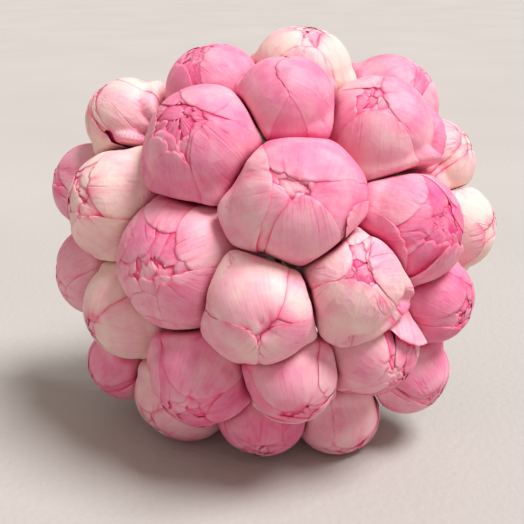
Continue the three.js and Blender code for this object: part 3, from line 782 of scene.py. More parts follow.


# %% [markdown]
# ## All petals of a bud
#
# The heart comes first: short, crumpled petals round the tip. Then come a few wide ones that close the
# bud, and last the large outer petals that its plan names. They all hold on to a core that is painted
# dark crimson, as painted shade deep inside the bud.

# %% Plan the petals of a bud
HEART_PETALS = 11
CRUMPLED_PETALS = 8
CLOSING_PETALS = 4
HEART = {"reach": (-12, 8), "spread": (12, 22), "ragged": 0.10, "tones": (-0.25, 0.2), "heart": 1,
         "root": 70, "crumple": 0.35, "stand": 0.5, "soft": 1, "folds": 3, "fine": 0.4}
CRUMPLED = {"reach": (4, 26), "spread": (16, 28), "ragged": 0.08, "tones": (-0.2, 0.2), "heart": 0.6,
            "root": 95, "crumple": 0.25, "stand": 0.5, "soft": 2, "folds": 5, "fine": 0.55}
CLOSING = {"reach": (12, 22), "spread": (40, 52), "ragged": 0.035, "tones": (-0.1, 0.2), "heart": 0,
           "crumple": 0.12, "stand": 0.4, "fine": 0.7}


def inner_petal(bud, chance, turn, reach, spread, ragged, tones, heart, **more):
    """A petal round the tip of a bud, drawn at random between the limits of its kind."""
    return {**USUAL_PETAL, "turn": turn, "reach": chance.uniform(*reach),
            "spread": chance.uniform(*spread), "ragged": ragged_tip(chance, ragged),
            "tone": bud["tone"] + heart * bud.get("heart", 0) + chance.uniform(*tones), **more}


def plan_petals(bud, chance):
    petals = [inner_petal(bud, chance, k * GOLDEN_ANGLE + chance.uniform(-15, 15), **HEART)
              for k in range(HEART_PETALS)]
    start = chance.uniform(0, 360)
    for count, kind in ((CRUMPLED_PETALS, CRUMPLED), (CLOSING_PETALS, CLOSING)):
        petals += [inner_petal(bud, chance, start + k * GOLDEN_ANGLE, **kind) for k in range(count)]
    for turn, reach, spread, *more in bud["wraps"]:
        petals.append({
            **USUAL_PETAL, "turn": turn, "reach": reach, "spread": spread,
            "soft": 9, "taut": 4, "fine": 1,
            "ragged": ragged_tip(chance, 0.02), "tone": bud["tone"] + chance.uniform(-0.12, 0.12),
            "cup": chance.uniform(0.6, 1.6), **(more[0] if more else {}),
        })
    return petals


# %% Wrap a bud
TIP_DIP = 2.1 * MM  # the pile starts lower round the tip, where most petals meet
LUMPS, LUMP_WAVES = 1.6 * MM, 5
CREVICE = 0.4 * MM  # painted crevice shade: a place that lies so much lower than those round it is painted crimson
NICKED = 0.9  # how crimson the notches of a rim are
UNDERSIDE_PAINTED_SHADE = 0.5  # how much painted crimson shade the under side of a petal gets
OUTSTANDING = 0.3  # the share that stays of what stands out of a bud's skin
MAPS_APART = 40  # between the petal maps of two buds, so that no two petals share a pattern
CORE_STEPS = 14
FIRST_SEED = 100  # each bud's chance starts from this and its number
DIP_EDGE, DIP_FLOOR = math.radians(60), math.radians(15)  # where the dip starts and ends, from the tip


def lumps(chance):
    """Soft bumps under all the petals, so that no bud is a perfect ball."""
    line = np.linspace(0, 1, PILE_CELLS)
    x, y = np.meshgrid(line, line)
    bumps = sum(waves(chance, 1.5, 3.5, 3)(x * chance.uniform(-1, 1) + y * chance.uniform(-1, 1))
                for _ in range(LUMP_WAVES))
    return LUMPS * bumps / LUMP_WAVES


def core_grid(steps):
    """A ball of quads without poles: the six sides of a cube, blown up, each as a grid of directions."""
    line = np.tan(np.linspace(-math.pi / 4, math.pi / 4, steps + 1))
    a, b = np.meshgrid(line, line)
    one = np.ones_like(a)
    sides = [(a, b, one), (b, a, -one), (one, a, b), (-one, b, a), (b, one, a), (a, -one, b)]
    ways = np.stack([np.stack(side, -1) for side in sides])
    return ways / np.linalg.norm(ways, axis=-1, keepdims=True)


def grid_faces(rows, columns):
    """The corners of a grid's quads, where its points are numbered row by row."""
    first = (np.arange(rows)[:, None] * (columns + 1) + np.arange(columns)).ravel()
    return np.stack([first, first + 1, first + columns + 2, first + columns + 1], -1)


def shell_faces(rows, columns):
    """The quads of a closed shell: its upper side, its under side turned over, and the rim between."""
    upper = grid_faces(rows, columns)
    sheet = (rows + 1) * (columns + 1)
    line = np.concatenate([
        np.arange(columns), np.arange(rows) * (columns + 1) + columns,
        rows * (columns + 1) + np.arange(columns, 0, -1), np.arange(rows, 0, -1) * (columns + 1),
    ])
    after = np.roll(line, -1)
    rim = np.stack([line, line + sheet, after + sheet, after], -1)
    return np.concatenate([upper, upper[:, ::-1] + sheet, rim])


def in_skin(height, raised):
    """Lifts a height of the pile into the bud's skin, and draws in what would stand far out of it."""
    lifted = height + raised
    return np.where(lifted > SKIN, SKIN + (lifted - SKIN) * OUTSTANDING, lifted)


def petal_part(bud, number, shell, haze, raised):
    """The points, faces and values of one petal, in the bud's frame."""
    # painted crevice shade: crimson where a place lies lower than the petals round it; the real crimson
    # of the notches is added to it
    crimson_shade_and_nicks = np.clip((read_pile(haze, shell["way"]) - in_skin(shell["upper"], raised)) / CREVICE, 0, 1)
    values = {name: shell[name] for name in ("tone", "rim", "shade_between_buds", "along", "wrinkled")}
    values["crimson_shade_and_nicks"] = np.maximum(crimson_shade_and_nicks, NICKED * shell["nick"])
    values["across"] = shell["across"] * 0.5 + 0.5 + MAPS_APART * bud["index"] + number
    values = {name: np.tile(value.ravel(), 2) for name, value in values.items()}
    # the under side of a petal gets painted crimson shade
    values["crimson_shade_and_nicks"][crimson_shade_and_nicks.size:] = UNDERSIDE_PAINTED_SHADE
    sides = [on_bud(bud, shell["way"], in_skin(shell[side], raised), shell["over"])
             for side in ("upper", "lower")]
    return {"points": np.concatenate([side.reshape(-1, 3) for side in sides]),
            "faces": shell_faces(shell["rim"].shape[0] - 1, shell["rim"].shape[1] - 1), "values": values}


def core_parts(bud, raised):
    """The ball inside a bud that its petals hold on to. It is painted dark crimson, as painted shade
    deep inside the bud.
    """
    # full painted shade and crimson all over the core
    values = {"tone": 1.0, "rim": 0.0, "shade_between_buds": 1.0, "along": 0.5, "wrinkled": 1.0, "crimson_shade_and_nicks": 1.0,
              "across": 0.5}
    parts = []
    for side in core_grid(CORE_STEPS):
        points = on_bud(bud, side, np.full(side.shape[:2], raised - TIP_DIP)).reshape(-1, 3)
        parts.append({"points": points, "faces": grid_faces(CORE_STEPS, CORE_STEPS),
                      "values": {name: np.full(len(points), value) for name, value in values.items()}})
    return parts


def bud_parts(bud, fine):
    """Every part of a bud as points, faces and colour values, in the bud's frame."""
    chance = np.random.default_rng(FIRST_SEED + bud["index"])
    dip = smoothstep(cells_from_tip(), DIP_EDGE, DIP_FLOOR)
    bud["pile"] = -TIP_DIP * dip + lumps(chance)
    shells = [petal_shell(bud, petal, chance, max(8, round(fine * petal["fine"])))
              for petal in plan_petals(bud, chance)]
    wraps = shells[-len(bud["wraps"]):]
    heights = np.concatenate([shell["upper"][shell["along"] > 0.3] for shell in wraps])
    raised = SKIN - np.percentile(heights, 50)
    shares = [10, 50, 90, 100]
    print(bud["name"], "petals pile up to", np.round(np.percentile(heights, shares) / MM, 2), "mm")
    haze = in_skin(smoothed(bud["pile"], 10), raised)
    parts = [petal_part(bud, number, shell, haze, raised) for number, shell in enumerate(shells)]
    return parts + core_parts(bud, raised)


# %% Make meshes from parts
def mesh_of(name, parts, place):
    """One mesh object of many parts, with their values as attributes. Its place is in its mesh."""
    points = np.concatenate([part["points"] for part in parts])
    starts = np.cumsum([0] + [len(part["points"]) for part in parts[:-1]])
    faces = np.concatenate([part["faces"] + start for part, start in zip(parts, starts)])
    values = {key: np.concatenate([part["values"][key] for part in parts]) for key in parts[0]["values"]}
    matrix = np.array(place)
    points = points @ matrix[:3, :3].T + matrix[:3, 3]
    points[:, 2] = np.maximum(points[:, 2], measured_box[0][2])
    mesh = bpy.data.meshes.new(name)
    mesh.vertices.add(len(points))
    mesh.vertices.foreach_set("co", points.ravel())
    mesh.loops.add(faces.size)
    mesh.loops.foreach_set("vertex_index", faces.ravel().astype(np.int32))
    mesh.polygons.add(len(faces))
    mesh.polygons.foreach_set("loop_start", np.arange(0, faces.size, 4, dtype=np.int32))
    mesh.polygons.foreach_set("use_smooth", np.ones(len(faces), dtype=bool))
    for key, numbers in values.items():
        layer = mesh.attributes.new(key, "FLOAT", "POINT")
        layer.data.foreach_set("value", numbers.astype(np.float32))
    flat = np.stack([values["across"], values["along"]], -1)
    uv = mesh.uv_layers.new(name="petal_map")
    uv.data.foreach_set("uv", flat[faces.ravel()].ravel().astype(np.float32))
    mesh.update(calc_edges=True)
    mesh.validate()
    piece = bpy.data.objects.new(name, mesh)
    bpy.context.collection.objects.link(piece)
    return piece


def placed(bud):
    return to_table @ Matrix.Translation(bud["centre"]) @ bud["turn"].to_4x4()


# %% [markdown]
# ## The finish of the petals
#
# A petal is deepest in tone at its root and where it is pressed; where it is pressed, that is partly
# painted shade. It is pale near its rim, partly as painted light through the thin edge, and crimson at
# the very edge, partly as painted shade. The crimson in the crevices and the dark where two buds meet
# are painted shade. Fine veins run along it, and where it is crumpled there are thin seams with crimson
# in them, partly painted shade in their grooves.

# %% Petal finish
CRIMSON = (0.86, 0.02, 0.16, 1)
BETWEEN_BUDS_SHADE = (0.36, 0.012, 0.06, 1)  # painted shade where two buds meet
RIM_PALE, RIM_ROSE = (0.96, 0.68, 0.73, 1), (0.84, 0.08, 0.24, 1)  # near the rim, partly painted light through the thin edge, and at its very edge, partly painted shade
# in the crumpled seams: partly the petal's own colour, partly painted shade in their grooves
SEAM_RED = (0.80, 0.05, 0.20, 1)
TONES = [(0, (0.88, 0.62, 0.54, 1)), (0.3, (0.86, 0.415, 0.475, 1)), (0.6, (0.82, 0.225, 0.36, 1)),
         (1, (0.70, 0.05, 0.20, 1))]
FLUSHED = {"rose": 0.5, "pink": 0.45, "blush": 0.9, "cream": 0.8}  # how crimson some of the rims are
SEAM_WIDE = 0.02


def petal_finish(name, flushed):
    made = Finish(name, roughness=0.55, specular=0.35)
    whereabouts, rim, wrinkled = made.places(), made.value_of("rim"), made.value_of("wrinkled")
    patches = made.noise(55, 3, whereabouts)
    veins = made.noise(1, 3, made.stretched(38, 1.6, "petal_map"))
    pleats = made.noise(1, 3, made.stretched(10, 3.5, "petal_map"), "RIDGED_MULTIFRACTAL")
    lines = made.noise(1, 1.5, made.stretched(3, 1.3, "petal_map"))
    crinkles = made.noise(110, 3, whereabouts, "RIDGED_MULTIFRACTAL")
    paper = made.noise(420, 2, whereabouts)
    tone = made.value_of("tone")
    for pattern, share in ((patches, 0.8), (veins, 0.24), (paper, 0.12)):
        tone = made.maths("MULTIPLY_ADD", made.maths("SUBTRACT", pattern, 0.5), share, tone)
    seams = made.rise(made.maths("ABSOLUTE", made.maths("SUBTRACT", lines, 0.5)), SEAM_WIDE, 0)
    seams = made.times(seams, made.times(made.rise(patches, 0.48, 0.66), wrinkled))
    flush = made.times(made.rise(patches, 0.48, 0.6), flushed)
    colour = made.ramp(tone, TONES)
    for share, over in (
        # painted crimson shade in the crevices, on the under sides and the core, and the real crimson of
        # the notches
        (made.times(made.maths("POWER", made.value_of("crimson_shade_and_nicks"), 1.2), 0.9), CRIMSON),
        # a pale band near the rim, partly painted light through the thin edge; crimson at the very edge,
        # partly painted shade on it
        (made.times(made.maths("POWER", rim, 3), 0.4), RIM_PALE),
        (made.times(made.maths("POWER", rim, 9), 0.7), RIM_ROSE),
        (made.times(flush, made.maths("POWER", rim, 2)), CRIMSON),
        # crimson seams, partly painted shade in the grooves that the relief sinks there
        (made.times(seams, 0.6 - 0.5 * flushed), SEAM_RED),
        # painted dark shade where the next bud is close
        (made.times(made.value_of("shade_between_buds"), 0.85), BETWEEN_BUDS_SHADE),
    ):
        colour = made.mix(share, colour, over)
    made.translucent(0.1, (1.0, 0.4, 0.35), 0.002)
    pleated = made.times(made.rise(patches, 0.42, 0.66), 0.28)
    relief = made.maths("MULTIPLY_ADD", pleats, pleated, made.times(crinkles, 0.26))
    relief = made.times(relief, wrinkled)
    for pattern, height in ((veins, 0.25), (paper, 0.08), (seams, -0.7)):
        relief = made.maths("MULTIPLY_ADD", pattern, height, relief)
    return made.finish(colour, relief, strength=0.7, distance=1 * MM)


petals = {shade: petal_finish("petals_" + shade, share) for shade, share in FLUSHED.items()}

# %% Build the buds
FRONT_BUDS = 13
STEPS_IN_FRONT, STEPS_BEHIND = 44, 30  # along a large petal
faces = 0
for bud in buds:
    steps = STEPS_IN_FRONT if bud["index"] < FRONT_BUDS else STEPS_BEHIND
    piece = mesh_of("petals_" + bud["name"], bud_parts(bud, steps), placed(bud))
    piece.data.materials.append(petals[bud["shade"]])
    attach(piece, "root")
    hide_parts("bloom_" + bud["name"])
    faces += len(piece.data.polygons)
print("faces on the petals:", faces)

# %% [markdown]
# ## Stems, sepals and leaves
#
# A stem leaves its bud straight, bends round and runs on straight through the tie to its cut end. It is
# a tube along a path, which Geometry Nodes make well: the tree takes the path, its thickness at each
# point, and sweeps a circle along it. The cut end is closed by ever smaller rings, which also lets the
# colour go from rind to pith.

# %% [markdown]
# As with the finishes, a small writer for trees comes first. It puts nodes into a tree in the order in
# which the geometry runs through them, and each tree ends in Realize Instances and Set Material.
# `grown` then turns the result into a plain mesh, so no piece keeps a modifier.

# %% A small helper to write trees
class Tree:
    """A Geometry Nodes tree that is written down node by node."""

    def __init__(self, name, **inputs):
        self.group = bpy.data.node_groups.new(name, "GeometryNodeTree")
        self.sockets = {}
        self.group.interface.new_socket("Geometry", in_out="INPUT", socket_type="NodeSocketGeometry")
        for key, kind in inputs.items():
            socket = self.group.interface.new_socket(key, in_out="INPUT", socket_type=kind)
            self.sockets[key] = socket.identifier
        self.group.interface.new_socket("Geometry", in_out="OUTPUT", socket_type="NodeSocketGeometry")
        self.given = self.group.nodes.new("NodeGroupInput")
        self.result = self.group.nodes.new("NodeGroupOutput")

    def input(self, name="Geometry"):
        return self.given.outputs[name]

    def add(self, kind, *sources, out=0, **settings):
        """A node and its inputs in their order. A socket is linked, and None leaves one as it is."""
        node = self.group.nodes.new(kind)
        for key, value in settings.items():
            setattr(node, key, value)
        free = [socket for socket in node.inputs if socket.enabled]
        for socket, source in zip(free, sources):
            if source is None:
                continue
            if isinstance(source, bpy.types.NodeSocket):
                self.group.links.new(source, socket)
            else:
                socket.default_value = source
        return [socket for socket in node.outputs if socket.enabled][out]

    def maths(self, operation, *sources):
        return self.add("ShaderNodeMath", *sources, operation=operation)

    def vectors(self, operation, *sources):
        return self.add("ShaderNodeVectorMath", *sources, operation=operation)

    def named(self, name, data_type="FLOAT"):
        return self.add("GeometryNodeInputNamedAttribute", name, data_type=data_type)

    def store(self, geometry, name, value):
        return self.add("GeometryNodeStoreNamedAttribute", geometry, True, name, value,
                        data_type="FLOAT")

    def there_and_back(self, share):
        """Goes from 0 to 1 and back, so that a pattern round a tube closes without a seam."""
        away = self.maths("ABSOLUTE", self.maths("MULTIPLY_ADD", share, 2.0, -1.0))
        return self.maths("SUBTRACT", 1.0, away)

    def join(self, *parts):
        node = self.group.nodes.new("GeometryNodeJoinGeometry")
        for part in reversed(parts):
            self.group.links.new(part, node.inputs[0])
        return node.outputs[0]

    def finish(self, geometry, material):
        realized = self.add("GeometryNodeRealizeInstances", geometry)
        smooth = self.add("GeometryNodeSetShadeSmooth", realized)
        finished = self.add("GeometryNodeSetMaterial", smooth, True, material)
        self.group.links.new(finished, self.result.inputs[0])
        return self


def grown(tree, name, start, **values):
    """The plain mesh that a tree grows from a starting mesh, with these values for its inputs."""
    holder = bpy.data.objects.new(name, start)
    bpy.context.collection.objects.link(holder)
    modifier = holder.modifiers.new(tree.group.name, "NODES")
    modifier.node_group = tree.group
    for key, value in values.items():
        modifier[tree.sockets[key]] = value
    evaluated = holder.evaluated_get(bpy.context.evaluated_depsgraph_get())
    mesh = bpy.data.meshes.new_from_object(evaluated)
    bpy.data.objects.remove(holder)
    mesh.name = name
    return mesh


def path_mesh(name, points, **values):
    """A line of points, each with its values, for a tree to follow."""
    mesh = bpy.data.meshes.new(name)
    mesh.from_pydata(points, [(i, i + 1) for i in range(len(points) - 1)], [])
    for key, numbers in values.items():
        mesh.attributes.new(key, "FLOAT", "POINT").data.foreach_set("value", numbers)
    return mesh


# %% [markdown]
# The green has fine ribs along the stem, pale specks and a reddish flush here and there. The cut end
# shows pale pith. A leaf is deeper, with a light rib down its middle and side veins that run out to its
# edge.

# %% Green finish
GREENS = [(0.3, (0.04, 0.09, 0.02, 1)), (0.5, (0.085, 0.15, 0.035, 1)),
          (0.62, (0.16, 0.23, 0.07, 1)), (0.78, (0.24, 0.13, 0.07, 1))]
SPECK, GROOVE, PITH = (0.36, 0.46, 0.18, 1), (0.07, 0.14, 0.03, 1), (0.62, 0.66, 0.40, 1)
LEAF_GREEN, VEIN_GREEN = (0.045, 0.12, 0.025, 1), (0.24, 0.36, 0.12, 1)


def green_finish():
    made = Finish("green", roughness=0.45)
    whereabouts = made.places()
    patches = made.noise(28, 3, whereabouts)
    specks = made.noise(900, 1, whereabouts)
    across, along, blade = made.value_of("across"), made.value_of("along"), made.value_of("blade")
    ribs = made.noise(1, 2, made.stretched(9, 3))
    colour = made.ramp(patches, GREENS)
    colour = made.mix(made.times(made.rise(specks, 0.62, 0.75), 0.5), colour, SPECK)
    colour = made.mix(made.times(made.rise(ribs, 0.5, 0.7), 0.35), colour, GROOVE)
    off_rib = made.maths("ABSOLUTE", made.maths("SUBTRACT", across, 0.5))
    slant = made.maths("MULTIPLY_ADD", off_rib, -0.55, along)
    veins = made.rise(made.maths("ABSOLUTE", made.maths("SINE", made.times(slant, 44))), 0.22, 0)
    rib = made.rise(off_rib, 0.045, 0.01)
    lines = made.times(made.maths("MAXIMUM", made.times(veins, 0.6), rib), blade)
    colour = made.mix(made.times(blade, 0.55), colour, LEAF_GREEN)
    colour = made.mix(made.times(lines, 0.6), colour, VEIN_GREEN)
    colour = made.mix(made.rise(made.value_of("pith"), 0.04, 0.3), colour, PITH)
    made.translucent(0.08, (0.4, 0.8, 0.2), 0.002)
    relief = made.maths("MULTIPLY_ADD", ribs, 0.6, made.times(specks, 0.2))
    relief = made.maths("MULTIPLY_ADD", lines, -0.8, relief)
    return made.finish(colour, relief, strength=0.5, distance=0.4 * MM)


# %% [markdown]
# The twine is dull and hairy: its fibres run along each strand, some paler and some darker.

# %% Twine finish
FIBRES = [(0.25, (0.20, 0.12, 0.05, 1)), (0.5, (0.50, 0.36, 0.19, 1)), (0.8, (0.74, 0.62, 0.42, 1))]
STAIN = (0.34, 0.24, 0.12, 1)


def twine_finish():
    made = Finish("twine", roughness=0.95, specular=0.15)
    whereabouts = made.places()
    fibres = made.noise(1, 3, made.stretched(9, 400))
    stains = made.noise(140, 2, whereabouts)
    fluff = made.noise(2600, 2, whereabouts)
    share = made.maths("MULTIPLY_ADD", made.maths("SUBTRACT", fluff, 0.5), 0.6, fibres)
    colour = made.ramp(share, FIBRES)
    colour = made.mix(made.times(made.rise(stains, 0.5, 0.75), 0.5), colour, STAIN)
    relief = made.maths("MULTIPLY_ADD", fibres, 0.7, made.times(fluff, 0.6))
    return made.finish(colour, relief, strength=0.8, distance=0.4 * MM)


green = green_finish()
twine = twine_finish()
print("finishes:", sorted(material.name for material in bpy.data.materials))

# %% The tree of a stem
def stem_tree():
    tree = Tree("stem", Sides="NodeSocketInt")
    path = tree.add("GeometryNodeMeshToCurve", tree.input())
    path = tree.store(path, "along", tree.add("GeometryNodeSplineParameter"))
    section = tree.add("GeometryNodeCurvePrimitiveCircle", tree.input("Sides"), 1.0)
    section = tree.store(section, "across", tree.there_and_back(tree.add("GeometryNodeSplineParameter")))
    tube = tree.add("GeometryNodeCurveToMesh", path, section, tree.named("thick"), True)
    return tree.finish(tube, green)


STEM = stem_tree()

# %% The mesh of a stem
CALYX_GAP = 1.1 * MM  # a stem ends this far over the core of its bud, in its calyx
LEAVES_BUD, ENTERS_TIE = 0.22, 0.38  # how far a stem runs on straight at both ends, as shares of the way
BEND_STEPS, STRAIGHT_STEPS = 40, 14
KNEE, KNEE_STEPS = 0.25, 2  # how much thicker a stem starts, and how soon that fades
CUT_RINGS = [(0.0, 1.0), (0.02, 0.96), (0.05, 0.8), (0.07, 0.55), (0.08, 0.25)]  # mm ahead, width
CUT_BACK = 0.1  # mm by which the rings start before the cut
STEM_SIDES = 20


def bezier(t, a, b, c, d):
    return a * (1 - t) ** 3 + b * 3 * t * (1 - t) ** 2 + c * 3 * t * t * (1 - t) + d * t ** 3


def stem_bend(bud):
    """The four handles of a stem's bend, from its bud's base to the tie."""
    foot = np.linalg.norm(on_bud(bud, np.array([0.0, 0, -1]), 0, CALYX_GAP))
    base = bud["centre"] - bud["axis"] * float(foot)
    held = straight_stem(bud["index"], HELD_Z)
    onward = (straight_stem(bud["index"], CUT_Z) - held).normalized()
    reach = (held - base).length
    return base, base - bud["axis"] * LEAVES_BUD * reach, held - onward * ENTERS_TIE * reach, held


def stem_mesh(bud):
    bend = stem_bend(bud)
    held, cut = bend[3], straight_stem(bud["index"], CUT_Z)
    down = (cut - held).normalized()
    points = [bezier(k / BEND_STEPS, *bend) for k in range(BEND_STEPS)]
    points += [held.lerp(cut, k / STRAIGHT_STEPS) for k in range(STRAIGHT_STEPS)]
    points += [cut + down * (ahead - CUT_BACK) * MM for ahead, _ in CUT_RINGS]
    steps = BEND_STEPS + STRAIGHT_STEPS
    closing = [share for _, share in CUT_RINGS]
    swelling = [1 + KNEE * math.exp(-k / KNEE_STEPS) for k in range(steps)]
    thick = [STEM_RADIUS * share for share in swelling + closing]
    pith = [0.0] * steps + [1 - share for share in closing]
    return grown(STEM, "stem", path_mesh("stem_path", points, thick=thick, pith=pith), Sides=STEM_SIDES)


# %% [markdown]
# The calyx is a cup of five sepals, which are petals of another colour as far as their shape goes. So
# they are draped on the bud's pile from its foot, like the petals, and stand off it at their tips.

# %% Sepals
SEPALS = 5
LEAFY_SEPALS = 3  # the outer ones are long and stand out into the corners between the buds
SEPAL_THICK, SEPAL_RIM = 0.8 * MM, 0.6  # its thickness, and how much of it is gone at the rim
SEPAL_ROOT = 179  # degrees from the bud's tip
SEPAL_SPREAD = 26  # half a sepal's width, in degrees
REACH_VARIES, SPREAD_VARIES = 6, 3  # degrees either way, by chance
FIRST_LIES_MM, NEXT_LIES_MM = 0.2, 0.25  # over the bud, and each sepal over the one before
SEPAL_REACH, LEAFY_REACH = 128, 14  # degrees from the bud's tip, and how much nearer the leafy ones come
SEPAL_OFF, LEAFY_OFF = 2.5 * MM, 9 * MM  # how far their tips stand off
SEPAL_TURN = 144  # twice a fifth of the way round, so that each lies over the one before
SEPAL_STEPS = (12, 14)
FIRST_SEPAL_SEED = 500


def sepal_parts(bud):
    chance = np.random.default_rng(FIRST_SEPAL_SEED + bud["index"])
    steps_across, steps_along = SEPAL_STEPS
    grid = np.linspace(-1, 1, steps_across + 1), np.linspace(0, 1, steps_along + 1)
    across, along = np.meshgrid(*grid)
    thick = SEPAL_THICK * (1 - SEPAL_RIM * rim_of(across, along))
    parts = []
    for k in range(SEPALS):
        leafy = 1 if k < LEAFY_SEPALS else 0
        sepal = {"turn": math.degrees(bud["index"]) + k * SEPAL_TURN, "root": SEPAL_ROOT,
                 "reach": (SEPAL_REACH - LEAFY_REACH * leafy
                           + chance.uniform(-REACH_VARIES, REACH_VARIES)),
                 "spread": SEPAL_SPREAD + chance.uniform(-SPREAD_VARIES, SPREAD_VARIES),
                 "ragged": np.zeros_like}
        way = petal_ways(sepal, across, along)
        under = np.minimum(read_pile(bud["pile"], way), SKIN)
        over = (FIRST_LIES_MM + NEXT_LIES_MM * k) * MM + (SEPAL_OFF + LEAFY_OFF * leafy) * along ** 3
        sides = [on_bud(bud, way, under, over + thick), on_bud(bud, way, under, over)]
        values = {"across": across * 0.5 + 0.5, "along": along}
        parts.append({
            "points": np.concatenate([side.reshape(-1, 3) for side in sides]),
            "faces": shell_faces(steps_along, steps_across),
            "values": {name: np.tile(value.ravel(), 2) for name, value in values.items()},
        })
    return parts


# %% [markdown]
# ## Leaves
#
# A peony leaf has three leaflets on a stalk. One leaflet is a grid that a tree cuts to its outline,
# folds along its rib and arches along its length. The same tree sets three of them on the end of the
# stalk and thickens them.

# %% The tree of a leaf
LEAFLET = {"Length": 74 * MM, "Width": 27 * MM, "Fold": 2.5 * MM, "Arch": 12 * MM, "Thickness": 0.7 * MM}
LEAFLET_GRID = (17, 41)  # points across and along
ROUNDED = 0.9  # below 1, a leaflet is widest before its middle
NARROWEST = 0.02  # the share of its width that is left at its ends
LEAFLETS = 3
LEAFLET_SIZES = (0.94, 1.0)  # between these, by chance
SMALLER = 0.2  # how much smaller the outer leaflets are
RIPPLES, RIPPLE_HEIGHT = 60.0, 0.8  # for each metre, and as a share of the fold
WELD = 0.02 * MM  # points nearer than this become one


def leaflet(tree):
    grid = tree.add("GeometryNodeMeshGrid", 2.0, 1.0, *LEAFLET_GRID)
    place = tree.add("GeometryNodeInputPosition")
    parts = tree.group.nodes.new("ShaderNodeSeparateXYZ")
    tree.group.links.new(place, parts.inputs[0])
    edge, t = parts.outputs[0], tree.maths("ADD", parts.outputs[1], 0.5)
    grid = tree.store(grid, "across", tree.maths("MULTIPLY_ADD", edge, 0.5, 0.5))
    grid = tree.store(grid, "along", t)
    grid = tree.store(grid, "blade", 1.0)
    outline = tree.maths("SINE", tree.maths("MULTIPLY", tree.maths("POWER", t, ROUNDED), math.pi))
    outline = tree.maths("MAXIMUM", outline, NARROWEST)
    half = tree.maths("MULTIPLY", tree.maths("MULTIPLY", tree.input("Width"), 0.5), outline)
    off = tree.maths("MULTIPLY", edge, half)
    hump = tree.maths("MULTIPLY", tree.maths("MULTIPLY", t, 4), tree.maths("SUBTRACT", 1.0, t))
    rise = tree.maths("MULTIPLY", tree.input("Arch"), tree.maths("SUBTRACT", hump, t))
    fold = tree.maths("MULTIPLY", tree.maths("ABSOLUTE", edge), tree.input("Fold"))
    along = tree.maths("MULTIPLY", t, tree.input("Length"))
    spot = tree.add("ShaderNodeCombineXYZ", along, off, tree.maths("ADD", rise, fold))
    blade = tree.add("GeometryNodeSetPosition", grid, True, spot)
    ripple = tree.maths("SUBTRACT", tree.add("ShaderNodeTexNoise", None, RIPPLES, 2.0), 0.5)
    ripple = tree.maths("MULTIPLY", ripple, tree.maths("MULTIPLY", tree.input("Fold"), RIPPLE_HEIGHT))
    ripple = tree.add("ShaderNodeCombineXYZ", 0.0, 0.0, ripple)
    return tree.add("GeometryNodeSetPosition", blade, True, None, ripple)


def leaf_tree():
    tree = Tree("leaf", Fan="NodeSocketFloat", Seed="NodeSocketInt",
                **{size: "NodeSocketFloat" for size in LEAFLET})
    blade = leaflet(tree)
    places = tree.add("GeometryNodeMeshLine", LEAFLETS, None, (0, 0, 0))
    number = tree.add("GeometryNodeInputIndex")
    side = tree.maths("SUBTRACT", number, 1.0)
    turned = tree.add("ShaderNodeCombineXYZ", 0.0, 0.0, tree.maths("MULTIPLY", side, tree.input("Fan")))
    chance = tree.add("FunctionNodeRandomValue", *LEAFLET_SIZES, None, tree.input("Seed"),
                      data_type="FLOAT")
    smaller = tree.maths("MULTIPLY", tree.maths("ABSOLUTE", side), SMALLER)
    size = tree.maths("MULTIPLY", chance, tree.maths("SUBTRACT", 1.0, smaller))
    leaflets = tree.add("GeometryNodeInstanceOnPoints", places, True, blade, None, None, turned, size)
    sheet = tree.add("GeometryNodeRealizeInstances", leaflets)
    thickened = tree.add("GeometryNodeExtrudeMesh", sheet, True, None, tree.input("Thickness"), False)
    closed = tree.join(thickened, tree.add("GeometryNodeFlipFaces", sheet))
    closed = tree.add("GeometryNodeMergeByDistance", closed, True, WELD)
    return tree.finish(closed, green)


LEAF = leaf_tree()

# %% The meshes of a leaf
LEAF_STALK, STALK_RADIUS = 24 * MM, 1.4 * MM
STALK_STEPS, STALK_SIDES = 12, 12
INTO_BLADES = 2 * MM  # how far the stalk runs on between the leaflets
LEAF_AT = 0.58  # where on its stem's bend a leaf grows
LEAF_RISE = math.radians(20)  # how far it points up along the bunch
LEAF_FAN = math.radians(56)  # between the middle leaflet and the others


def leaf_meshes(bud):
    """The stalk and the blades of a leaf, in the bunch's frame."""
    start = bezier(LEAF_AT, *stem_bend(bud))
    out = Vector((start.x, start.y, 0)).normalized()
    ahead = out * math.cos(LEAF_RISE) + TIP * math.sin(LEAF_RISE)
    aside = TIP.cross(out)
    end = start + ahead * LEAF_STALK
    at_its_end = Matrix((ahead, aside, ahead.cross(aside))).transposed().to_4x4()
    at_its_end.translation = end
    seedling = bpy.data.meshes.new("seedling")
    blades = grown(LEAF, "leaflets", seedling, Fan=LEAF_FAN, Seed=bud["index"], **LEAFLET)
    blades.transform(at_its_end)
    points = [start.lerp(end + ahead * INTO_BLADES, k / STALK_STEPS) for k in range(STALK_STEPS + 1)]
    thick, pith = [STALK_RADIUS] * len(points), [0.0] * len(points)
    stalk = path_mesh("stalk_path", points, thick=thick, pith=pith)
    return [blades, grown(STEM, "stalk", stalk, Sides=STALK_SIDES)]


# %% Build the green pieces
def joined(name, meshes):
    """One object of several meshes that are in their place already."""
    holders = [bpy.data.objects.new(name, mesh) for mesh in meshes]
    for holder in holders:
        bpy.context.collection.objects.link(holder)
    with bpy.context.temp_override(active_object=holders[0], selected_editable_objects=holders):
        bpy.ops.object.join()
    return holders[0]


def calyx_mesh(bud):
    calyx = mesh_of("calyx", sepal_parts(bud), placed(bud))
    mesh = calyx.data
    mesh.materials.append(green)
    bpy.data.objects.remove(calyx)
    return mesh


